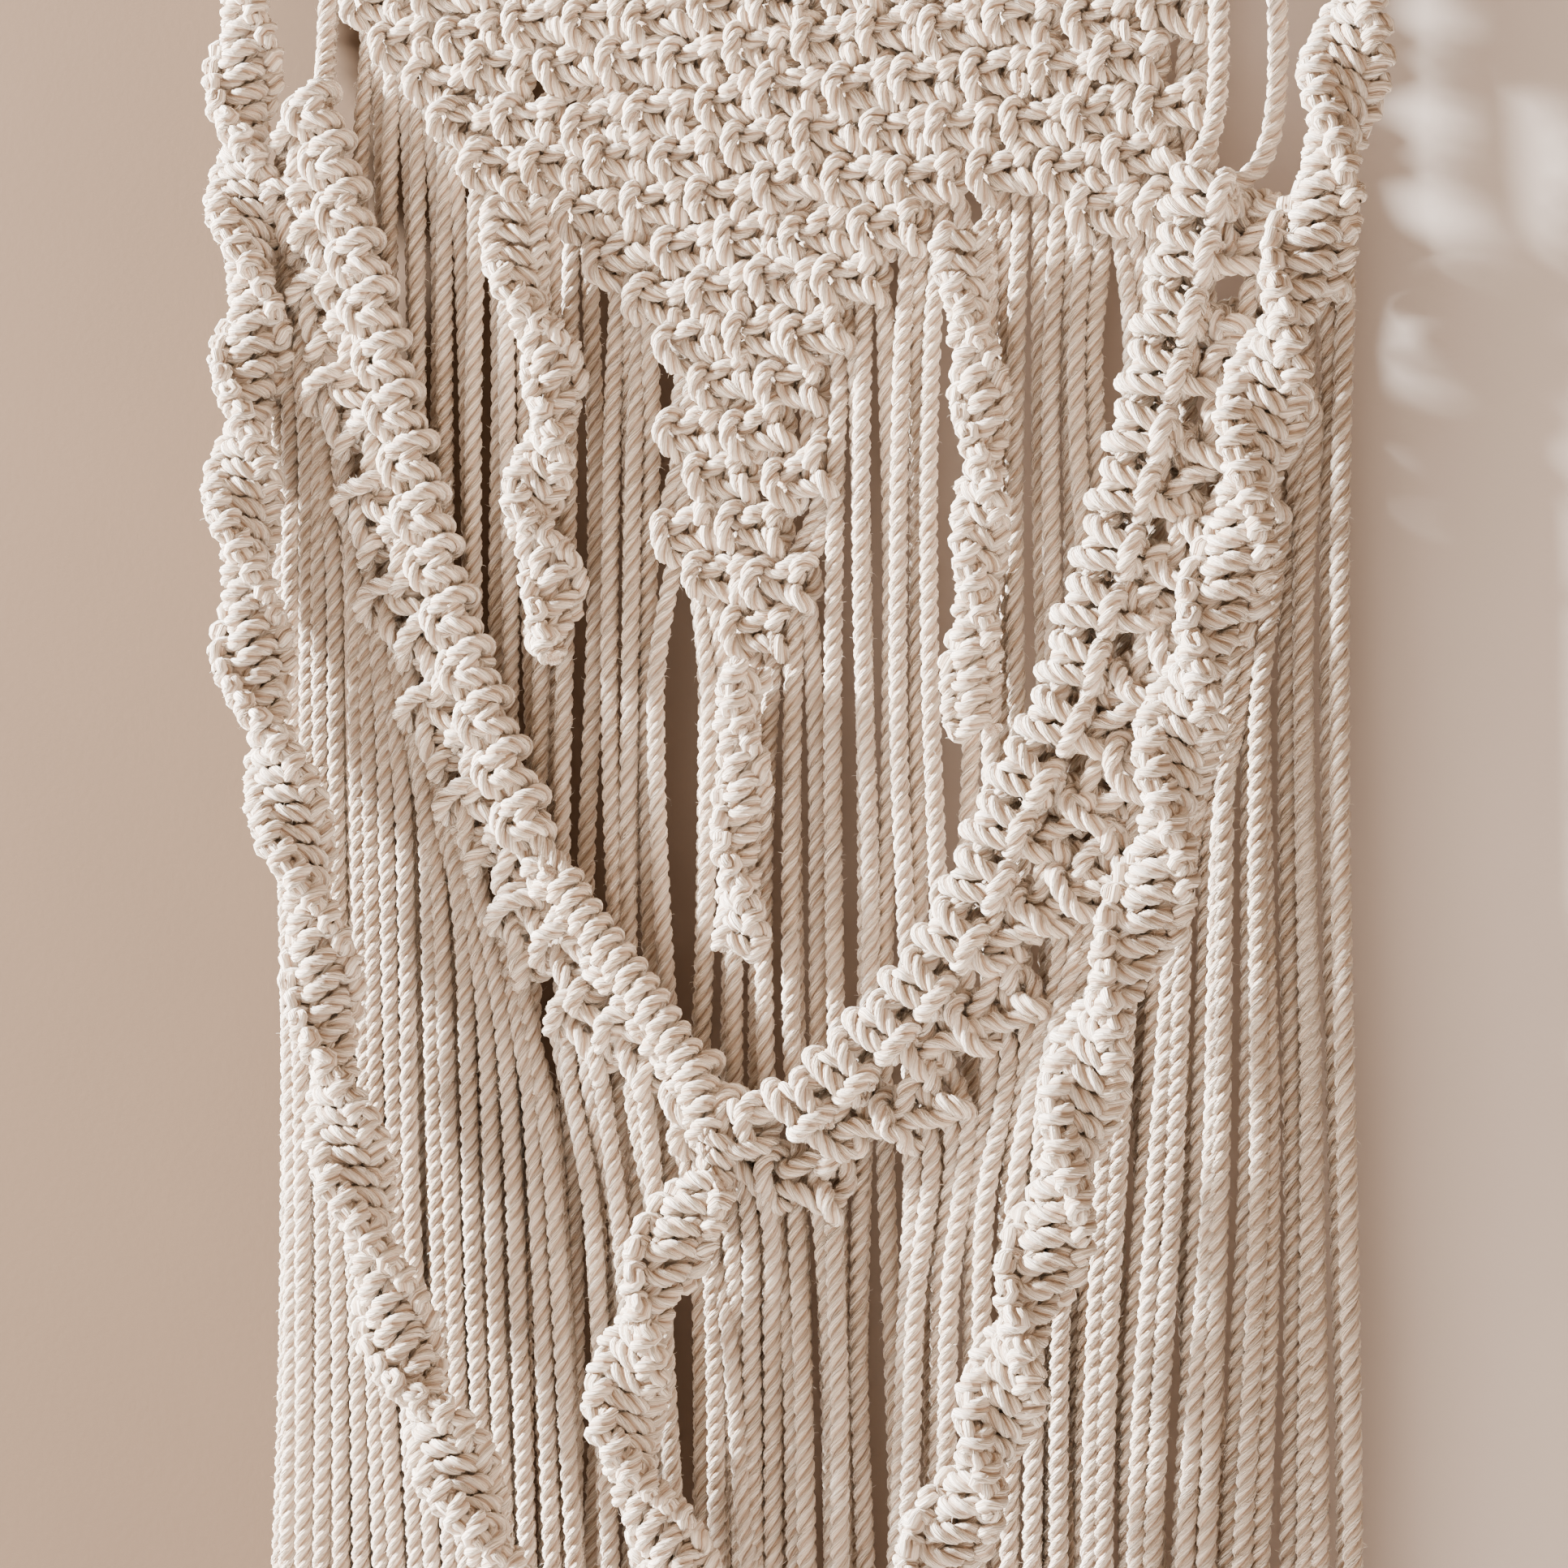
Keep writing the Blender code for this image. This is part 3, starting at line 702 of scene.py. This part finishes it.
def coil_on(arm):
    """A cord wound closely round the lower stretch of the ridge, as far as the knot where the arms meet."""
    core = even([p for p in arm.path[::12] if p[2] < COIL_TOP_Z] + [arm.path[-1], *TIP_LEAD], 0.4, 2)
    tangent, out = carried_frames(core)
    turn = 2 * math.pi * distances(core)[:, None] / COIL_STEP
    wound = core + COIL_RADIUS * (np.cos(turn) * out + np.sin(turn) * np.cross(tangent, out))
    lay_rope(wound, f"swag_ridge_{arm.side}_rope", COIL_ROPE_RADIUS, smooth=1)
    for x in (-1.4, 1.4):
        lay_rope(core[::8] + (x, 0, 0), f"swag_ridge_{arm.side}_rope", COIL_CORE_ROPE_RADIUS)


def knot_band(arm, cords):
    """Ties the arm's cords in rows of square knots outside its ridge."""
    for number, (reach, first_cord) in enumerate(SWAG_ROWS):
        for first in range(first_cord, len(cords) - KNOT_CORDS + 1, KNOT_CORDS):
            members = range(first, first + KNOT_CORDS)
            s = [arm.centres[j // 2] + (UNIT / 4 if j % 2 else -UNIT / 4) for j in members]
            if arm.rows_at(sum(s) / KNOT_CORDS) < number + 1:
                continue
            found = [arm.at(x, reach + arm.loop_reach) for x in s]
            centre = sum(place for place, _ in found) / KNOT_CORDS
            down = unit(sum(direction for _, direction in found))
            front = unit(FRONT - (FRONT @ down) * down)
            square_knot(cords, members, centre, np.cross(front, down), down, front, SWAG_KNOT_SCALE)


def swag_arm(arm):
    """The arm's ridge, its band of knots, and the fringe that its cords end in, in two layers."""
    cords = ridge_units(arm)
    knot_band(arm, cords)
    first, last = FRINGE_ENDS[arm.side]
    for j, points in enumerate(cords):
        top = points[-1]
        forward = LAYER_DEPTH if j % 2 else -LAYER_DEPTH
        x = first + (last - first) * (j + 0.5) / len(cords) + random.normal(0, 0.4)
        depth = swag_depth(x) + FRINGE_RECESS * arm.recess - forward
        end = (x, depth, FRINGE_END_Z + random.normal(0, 2.0))
        node = fringe_group(arm.side, x)
        hanging_piece = f"{node}_rope_{j:02d}" if j % 2 else f"{node}_rope"
        into = (f"swag_band_{arm.side}_rope", hanging_piece)
        cut = distances(curve_through(points))[-1] if len(points) > 2 else 4.0
        fall = hanging(top, end, FRINGE_WANDER, FRINGE_SWAY)
        laid = lay_rope([*points, *fall], into, FRINGE_ROPE_RADIUS, cuts=(cut,))
    ridge_holders(arm)


def fringe_group(side, x):
    """The CAD node of the fringe cord that ends at x."""
    first, last, count = FRINGE_SPANS[side]
    number = int(np.clip((x - first) / (last - first) * count, 0, count - 1)) + 1
    return f"fringe_cords_{side}_{number}"


def leads():
    """The cords from the dowel to the tops of the two arms."""
    lark_head(*LEAD_HEAD_LEFT, "swag_lark_head_left_rope")
    lark_head(*LEAD_HEAD_RIGHT, "swag_lark_head_right_rope")
    top = HEAD_END_Z
    back_x, front_x = LEAD_HEAD_LEFT
    behind = np.add(LEAD_LEFT, (-2.3, 4.5, 0))
    front_cord = [(front_x, 0, top), (-124.4, -2.0, -168), LEAD_LEFT, ARM_LEFT.path[8]]
    back_cord = [(back_x, 0, top), (-126.8, 2.4, -168), behind, ARM_LEFT.path[14]]
    for points in (front_cord, back_cord):
        lay_rope(points, "swag_lead_left_1_rope")
    for number, (x, end) in enumerate(zip(LEAD_HEAD_RIGHT, LEADS_RIGHT)):
        inside = ARM_RIGHT.path[-10 - 14 * number]
        points = [(x, 0, top), (end[0], end[1] * 0.6, -170), end, inside]
        lay_rope(points, f"swag_lead_right_{number + 1}_rope")


def tip():
    """The gathering knot where the arms meet, and the few cords that hang from it behind the spiral."""
    x, y, z = TIP_KNOT
    turn = np.linspace(0, 2 * math.pi, 24)
    for reach, rise in TIP_TURNS:
        wound = [
            (x + reach * math.sin(a), y - reach * math.cos(a), z + rise - 2.2 * math.sin(a)) for a in turn
        ]
        lay_rope(wound, "swag_tip_knot_rope", TIP_ROPE_RADIUS)
    for number in range(TIP_CORDS):
        start = (-7.5 + 4.8 * number, -13.0, -475.0 - number)
        middle = (x + (number - 1.5) * 1.6, y + 3.0, z)
        below = (-7.4 + 4.9 * number, -13.5, z - 10.0)
        depth = -SWAG_DEPTH + (0.2, 2.4)[number % 2]
        end = (-8.6 + 5.7 * number, depth, FRINGE_END_Z + random.normal(0, 2))
        points = [start, middle, below, *hanging(below, end, FRINGE_WANDER, FRINGE_SWAY)]
        into = ("swag_tip_knot_rope", "fringe_cords_centre_rope")
        lay_rope(points, into, FRINGE_ROPE_RADIUS, cuts=(TIP_CUT,))


# ---------------- garland, spirals and hanger

def garland():
    """The long spiral draped in a U: two sides and its lowest bend."""
    for side, heads in GARLAND_HEADS.items():
        for left, right in heads:
            lark_head(left, right, f"garland_lark_head_{side}_rope")
    sinnet(GARLAND_LEFT, LOBES_LEFT, "garland_left_rope")
    sinnet(GARLAND_RIGHT, LOBES_RIGHT, "garland_right_rope")
    sinnet(GARLAND_BOTTOM, [], "garland_bottom_rope")


def spirals():
    """The three spirals before the curtain, and the one that hangs from the swag's tip with its tail."""
    for side, route, lobes, half_size, first_turn in (
        ("left", REAR_SPIRAL_LEFT, LOBES_REAR_LEFT, REAR_LEFT_HALF_SIZE, 0.0),
        ("right", REAR_SPIRAL_RIGHT, LOBES_REAR_RIGHT, REAR_HALF_SIZE, 0.0),
        ("centre", REAR_SPIRAL_CENTRE, [], REAR_HALF_SIZE, 0.5),
    ):
        sinnet(route, lobes, f"rear_spiral_{side}_rope", half_size, REAR_SPIRAL_ROPE_RADIUS, first_turn)
    sinnet(
        CENTRE_SPIRAL, LOBES_CENTRE, "centre_spiral_rope", CENTRE_HALF_SIZE, CENTRE_SPIRAL_ROPE_RADIUS,
        tail=CENTRE_TAIL_LENGTH,
    )


def hanger():
    """The cord from the dowel over the nail and back, and its three turns round the dowel at each end."""
    left = [(-x, y, z) for x, y, z in HANGER_HALF]
    lay_rope([*left, HANGER_TOP, *HANGER_HALF[::-1]], "hanger_cord_rope")
    reach = DOWEL_RADIUS + ROPE_RADIUS + WRAP_GAP
    for side, x in (("left", -HANGER_X), ("right", HANGER_X)):
        points = []
        for a in np.linspace(0, 2 * math.pi * WRAP_TURNS, 60):
            along = x - WRAP_HALF_WIDTH + WRAP_STEP * a / (2 * math.pi)
            points.append((along, -reach * math.sin(a), DOWEL_Z + reach * math.cos(a)))
        lay_rope(points, f"hanger_wrap_{side}_rope")


# ---------------- meshes

# Spacing of the unwrapped strips, and how wide a strip is, as a share of the girth of a plain round rope
STRIP_GAP = 1.1
STRIP_GIRTH = 0.85


def new_mesh(name, points, corners, sizes):
    """A mesh of points in millimetres, from its faces' corners in a row and each face's number of corners."""
    data = bpy.data.meshes.new(name)
    data.vertices.add(len(points))
    data.vertices.foreach_set("co", (points * MM).astype(np.float32).ravel())
    data.loops.add(len(corners))
    data.loops.foreach_set("vertex_index", corners.astype(np.int32))
    data.polygons.add(len(sizes))
    data.polygons.foreach_set("loop_start", (np.cumsum(sizes) - sizes).astype(np.int32))
    return data


def unwrap_to(data, places):
    """Adds the layer of UVs that a bake uses, with a place for each face corner."""
    layer = data.uv_layers.new(name="OFBake")
    layer.data.foreach_set("uv", places.astype(np.float32).ravel())


def add_object(name, data):
    item = bpy.data.objects.new(name, data)
    bpy.context.scene.collection.objects.link(item)
    return item


def make_mesh(name, piece, material):
    """The mesh of a piece's ropes, with the attributes that the cotton finish reads."""
    k = len(ANGLES)
    quads = np.concatenate(piece.quads)
    caps = np.array(piece.caps).reshape(-1, k) if piece.caps else np.empty((0, k), int)
    sizes = np.r_[np.full(len(quads), 4), np.full(len(caps), k)]
    corners = np.concatenate([quads.ravel(), caps.ravel()])
    data = new_mesh(name, np.concatenate(piece.points), corners, sizes)
    data.polygons.foreach_set("use_smooth", sizes == 4)
    data.update(calc_edges=True)
    lay = data.attributes.new("lay", "FLOAT_VECTOR", "POINT")
    lay.data.foreach_set("vector", np.concatenate(piece.lay).astype(np.float32).ravel())
    for label, values in (("relief", piece.relief), ("tone", piece.tone)):
        attribute = data.attributes.new(label, "FLOAT", "POINT")
        attribute.data.foreach_set("value", np.concatenate(values).astype(np.float32))
    unroll(data, len(quads) // k, caps.size)
    data.materials.append(material)
    return add_object(name, data)


def make_fuzz(name, hairs, material):
    """Loose fibres that stand off the ropes: each is a blade of a quad and a triangle."""
    roots, out, along = np.concatenate(hairs).transpose(1, 0, 2)
    count = len(roots)
    length = random.uniform(0.7, 2.3, (count, 1))
    lean, swing = random.normal(0, 0.8, (count, 1)), random.normal(0, 0.6, (count, 1))
    across = np.cross(out, along)
    width = along * random.uniform(0.025, 0.045, (count, 1))
    middle = roots + length * (0.42 * out + 0.3 * lean * along + 0.25 * swing * across)
    end = roots + length * (0.55 * out + 0.9 * lean * along + 0.7 * swing * across + 0.15 * DOWN)
    points = np.stack([roots - width, roots + width, middle + 0.7 * width, middle - 0.7 * width, end], 1)
    base = 5 * np.arange(count)[:, None]
    corners = np.hstack([base + (0, 1, 2, 3), base + (3, 2, 4)])
    data = new_mesh(name, points.reshape(-1, 3), corners.ravel(), np.tile((4, 3), count))
    data.update(calc_edges=True)
    cells = math.ceil(math.sqrt(count))
    cell = np.stack([np.arange(count) % cells, np.arange(count) // cells], 1)[:, None]
    blade = np.array(((0, 0), (1, 0), (1, 1), (0, 1), (0, 1), (1, 1), (0.5, 1.4))) * 0.4 + 0.2
    unwrap_to(data, (cell + blade) / cells)
    data.materials.append(material)
    return add_object(name, data)


def unroll(data, rings, cap_loops):
    """Unwraps the ropes as strips side by side, a row for each ring of faces. Cut ends share one corner."""
    k = len(ANGLES)
    girth = 2 * math.pi * ROPE_RADIUS * STRIP_GIRTH
    strips = max(1, round(math.sqrt(rings * RING_SPACING / (girth * STRIP_GAP))))
    rows = math.ceil(rings / strips)
    ring, side = np.divmod(np.arange(rings * k), k)
    corners = np.array(((0, 0), (1, 0), (1, 1), (0, 1)))
    across = (side[:, None] + corners[:, 0]) / k
    u = ((ring // rows)[:, None] + across / STRIP_GAP + 0.02) / strips
    v = ((ring % rows)[:, None] + corners[:, 1]) / rows * 0.975 + 0.005
    quads = np.stack([u, v], -1).reshape(-1, 2)
    turn = 2 * math.pi * np.arange(cap_loops) / k
    caps = np.column_stack([0.01 + 0.006 * np.cos(turn), 0.991 + 0.006 * np.sin(turn)])
    unwrap_to(data, np.concatenate([quads, caps]))


def body_of(node):
    """The name of the body that a CAD node rides on."""
    parent = frame["nodes"][node].parent
    return next(name for name, empty in frame["bodies"].items() if empty == parent)


# ---------------- materials

WHITE = (1.0, 1.0, 1.0)


def add_node(tree, kind, inputs=(), **settings):
    """A shader node. `inputs` gives a value or another node's output for each input by name."""
    made = tree.nodes.new(kind)
    for name, value in settings.items():
        setattr(made, name, value)
    for name, value in dict(inputs).items():
        if isinstance(value, bpy.types.NodeSocket):
            tree.links.new(value, made.inputs[name])
        else:
            made.inputs[name].default_value = value
    return made


def ramp(tree, fac, stops):
    """A colour for each value of `fac`, from stops of (position, colour)."""
    made = add_node(tree, "ShaderNodeValToRGB", {"Fac": fac})
    made.color_ramp.elements[0].position, made.color_ramp.elements[1].position = stops[0][0], stops[-1][0]
    made.color_ramp.elements[0].color = (*stops[0][1], 1)
    made.color_ramp.elements[1].color = (*stops[-1][1], 1)
    for position, colour in stops[1:-1]:
        made.color_ramp.elements.new(position).color = (*colour, 1)
    return made.outputs["Color"]


def multiplied(tree, first, second):
    made = add_node(tree, "ShaderNodeMix", {"Factor": 1.0}, data_type="RGBA", blend_type="MULTIPLY")
    tree.links.new(first, made.inputs[6])
    tree.links.new(second, made.inputs[7])
    return made.outputs[2]


def new_material(name):
    made = bpy.data.materials.new(name)
    made.use_nodes = True
    return made, made.node_tree, made.node_tree.nodes["Principled BSDF"]


def object_place(tree):
    return add_node(tree, "ShaderNodeTexCoord").outputs["Object"]


def noise_on(tree, vector, scale, detail=2.0, roughness=0.55):
    """Noise from 0 to 1 with its own scale along each axis of the vector."""
    stretched = add_node(tree, "ShaderNodeMapping", {"Vector": vector, "Scale": scale})
    return add_node(
        tree, "ShaderNodeTexNoise",
        {"Vector": stretched.outputs["Vector"], "Scale": 1.0, "Detail": detail, "Roughness": roughness},
    ).outputs["Fac"]


def cotton():
    """Twisted cotton: yarns and fibres along the lay, painted shade in the grooves, and a tone of its own for
    each cord.
    """
    made, tree, shader = new_material("cotton_rope")
    lay = add_node(tree, "ShaderNodeAttribute", attribute_name="lay").outputs["Vector"]
    # relief is how far a point is out of the groove; below, it paints shade into the grooves and on the
    # strands' flanks
    relief = add_node(tree, "ShaderNodeAttribute", attribute_name="relief").outputs["Fac"]
    tone = add_node(tree, "ShaderNodeAttribute", attribute_name="tone").outputs["Fac"]
    yarns = noise_on(tree, lay, (2.3, 2.3, 0.08), 1.0)
    fibres = noise_on(tree, lay, (5.0, 5.0, 0.24), 2.0, 0.65)
    patches = noise_on(tree, lay, (0.12, 0.12, 0.03), 1.0)
    colour = ramp(
        tree, fibres, [(0.34, (0.68, 0.55, 0.44)), (0.48, (0.87, 0.765, 0.665)), (0.64, (0.97, 0.91, 0.86))]
    )
    for value, stops in (
        (yarns, [(0.36, (0.78, 0.73, 0.66)), (0.56, WHITE)]),
        # Painted shade: darkest in the grooves between strands, and a little darker on the strands' flanks
        (relief, [(0.0, (0.46, 0.35, 0.27)), (0.4, (0.80, 0.73, 0.67)), (0.9, WHITE)]),
        (tone, [(0.0, (0.93, 0.92, 0.90)), (1.0, WHITE)]),
        (patches, [(0.35, (0.94, 0.92, 0.89)), (0.65, WHITE)]),
    ):
        colour = multiplied(tree, colour, ramp(tree, value, stops))
    tree.links.new(colour, shader.inputs["Base Color"])
    shader.inputs["Roughness"].default_value = 0.9
    shader.inputs["Specular IOR Level"].default_value = 0.25
    shader.inputs["Sheen Weight"].default_value = 0.25
    shader.inputs["Sheen Roughness"].default_value = 0.6
    fine = add_node(tree, "ShaderNodeBump", {"Strength": 0.9, "Distance": 0.0004, "Height": fibres})
    coarse = add_node(
        tree, "ShaderNodeBump",
        {"Strength": 0.9, "Distance": 0.001, "Height": yarns, "Normal": fine.outputs["Normal"]},
    )
    tree.links.new(coarse.outputs["Normal"], shader.inputs["Normal"])
    return made


def loose_fibre():
    """The finish of the fibres that stand off the ropes."""
    made, tree, shader = new_material("cotton_fibre")
    mottle = noise_on(tree, object_place(tree), (260.0, 260.0, 260.0), 2.0)
    colour = ramp(tree, mottle, [(0.3, (0.82, 0.74, 0.64)), (0.7, (0.93, 0.89, 0.83))])
    tree.links.new(colour, shader.inputs["Base Color"])
    shader.inputs["Roughness"].default_value = 0.85
    shader.inputs["Specular IOR Level"].default_value = 0.2
    return made


def wood():
    """Plain turned wood with its grain along X."""
    made, tree, shader = new_material("turned_wood")
    place = object_place(tree)
    grain = noise_on(tree, place, (18.0, 420.0, 420.0), 3.0, 0.6)
    bands = noise_on(tree, place, (5.0, 110.0, 110.0), 2.0)
    pores = noise_on(tree, place, (90.0, 1900.0, 1900.0), 1.0)
    colour = ramp(
        tree, grain, [(0.3, (0.33, 0.20, 0.105)), (0.5, (0.52, 0.35, 0.20)), (0.7, (0.64, 0.46, 0.28))]
    )
    colour = multiplied(tree, colour, ramp(tree, bands, [(0.35, (0.78, 0.72, 0.66)), (0.6, WHITE)]))
    colour = multiplied(tree, colour, ramp(tree, pores, [(0.25, (0.62, 0.55, 0.48)), (0.4, WHITE)]))
    tree.links.new(colour, shader.inputs["Base Color"])
    shader.inputs["Roughness"].default_value = 0.58
    bump = add_node(tree, "ShaderNodeBump", {"Strength": 0.35, "Distance": 0.0003, "Height": grain})
    tree.links.new(bump.outputs["Normal"], shader.inputs["Normal"])
    return made


def plaster(name, colour, tint):
    """A matt wall or floor finish, mottled between two colours."""
    made, tree, shader = new_material(name)
    place = object_place(tree)
    mottle = noise_on(tree, place, (9.0, 9.0, 9.0), 3.0)
    tree.links.new(ramp(tree, mottle, [(0.3, colour), (0.7, tint)]), shader.inputs["Base Color"])
    shader.inputs["Roughness"].default_value = 0.95
    shader.inputs["Specular IOR Level"].default_value = 0.1
    grit = noise_on(tree, place, (420.0, 420.0, 420.0), 3.0)
    bump = add_node(tree, "ShaderNodeBump", {"Strength": 0.12, "Distance": 0.0005, "Height": grit})
    tree.links.new(bump.outputs["Normal"], shader.inputs["Normal"])
    return made


# ---------------- surroundings, camera and lights

def plane(name, centre, size, rotation, material):
    data = bpy.data.meshes.new(name)
    x, y = size[0] / 2, size[1] / 2
    data.from_pydata([(-x, -y, 0), (x, -y, 0), (x, y, 0), (-x, y, 0)], [], [(0, 1, 2, 3)])
    data.materials.append(material)
    item = add_object(name, data)
    item.location, item.rotation_euler = centre, rotation
    return item


def paint_light_and_shade_across(material, left, right):
    """Paints light and shade into the finish: multiplies it by a colour that changes smoothly along X, from
    one (x, colour) to the other.
    """
    tree = material.node_tree
    shader = tree.nodes["Principled BSDF"]
    x = add_node(tree, "ShaderNodeSeparateXYZ", {"Vector": object_place(tree)}).outputs["X"]
    along = add_node(
        tree, "ShaderNodeMapRange", {"Value": x, "From Min": left[0], "From Max": right[0]},
        interpolation_type="SMOOTHSTEP",
    )
    tint = ramp(tree, along.outputs["Result"], [(0.0, left[1]), (1.0, right[1])])
    base = shader.inputs["Base Color"]
    tree.links.new(multiplied(tree, base.links[0].from_socket, tint), base)


def see_through_from_behind(material):
    """The wall is left out when it is looked at from behind."""
    tree = material.node_tree
    side = add_node(tree, "ShaderNodeNewGeometry").outputs["Backfacing"]
    clear = add_node(tree, "ShaderNodeBsdfTransparent").outputs["BSDF"]
    blend = add_node(tree, "ShaderNodeMixShader", {"Fac": side})
    tree.links.new(tree.nodes["Principled BSDF"].outputs["BSDF"], blend.inputs[1])
    tree.links.new(clear, blend.inputs[2])
    tree.links.new(blend.outputs["Shader"], tree.nodes["Material Output"].inputs["Surface"])


def surroundings():
    """A wall close behind the dowel, with light and shade painted across it, darker at its left, and a pale
    floor. Neither is part of the object.
    """
    wall_finish = plaster("painted_wall", (0.95, 0.95, 0.95), WHITE)
    # Painted light and shade across the wall: darker at its left, lighter at its right
    paint_light_and_shade_across(wall_finish, WALL_PAINTED_SHADE_LEFT, WALL_PAINTED_LIGHT_RIGHT)
    see_through_from_behind(wall_finish)
    wall = plane("wall", (0, WALL_Y, FLOOR_Z + WALL_SIZE[1] / 2), WALL_SIZE, (math.pi / 2, 0, 0), wall_finish)
    for kind in ("diffuse", "glossy", "transmission", "shadow"):
        setattr(wall, f"visible_{kind}", False)
    floor_finish = plaster("pale_floor", (0.72, 0.66, 0.60), (0.76, 0.70, 0.64))
    floor = plane("floor", (0, -1.0, FLOOR_Z), FLOOR_SIZE, (0, 0, 0), floor_finish)


def from_target(turn, rise, distance):
    """The place at a distance from the target, turned to the right and raised by angles in radians."""
    return TARGET + distance * Vector(
        (math.sin(turn) * math.cos(rise), -math.cos(turn) * math.cos(rise), math.sin(rise))
    )


def add_camera():
    data = bpy.data.cameras.new("camera")
    data.lens = 94.6
    data.sensor_width = 36.0
    data.clip_start = 0.05
    camera = add_object("camera", data)
    camera.location = from_target(VIEW_TURN, VIEW_RISE, VIEW_DISTANCE)
    camera.rotation_euler = (TARGET - camera.location).to_track_quat("-Z", "Y").to_euler()
    bpy.context.scene.camera = camera


def add_light(name, turn, rise, distance, size, power, colour):
    data = bpy.data.lights.new(name, "AREA")
    data.shape, data.size, data.energy, data.color = "DISK", size, power, colour
    light = add_object(name, data)
    light.location = from_target(math.radians(turn), math.radians(rise), distance)
    light.rotation_euler = (TARGET - light.location).to_track_quat("-Z", "Y").to_euler()


def add_lights():
    add_light("key", -67.0, 20.0, 2.2, 0.36, 780.0, (1.0, 0.99, 0.98))
    add_light("fill", 30.0, 25.0, 2.4, 2.0, 8.0, (1.0, 0.78, 0.58))
    world = bpy.data.worlds.new("studio")
    world.use_nodes = True
    background = world.node_tree.nodes["Background"]
    background.inputs["Color"].default_value = (1.0, 0.695, 0.48, 1.0)
    background.inputs["Strength"].default_value = 0.78
    bpy.context.scene.world = world


# ---------------- the hanging

rear_panel()
swag_arm(ARM_LEFT)
swag_arm(ARM_RIGHT)
coil_on(ARM_LEFT)
leads()
tip()
garland()
spirals()
hanger()

cotton_finish = cotton()
for name, piece in pieces.items():
    item = make_mesh(name, piece, cotton_finish)
    node = name.split("_rope")[0]
    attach(item, body_of(node))
    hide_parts(node)
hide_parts("centre_spiral_tail")
fibre_finish = loose_fibre()
for node, hairs in fuzz.items():
    item = make_fuzz(f"{node}_fuzz", hairs, fibre_finish)
    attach(item, body_of(node))
    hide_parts(node)
dowel = frame["nodes"]["dowel"]
dowel.data.materials.clear()
dowel.data.materials.append(wood())

surroundings()
add_camera()
add_lights()
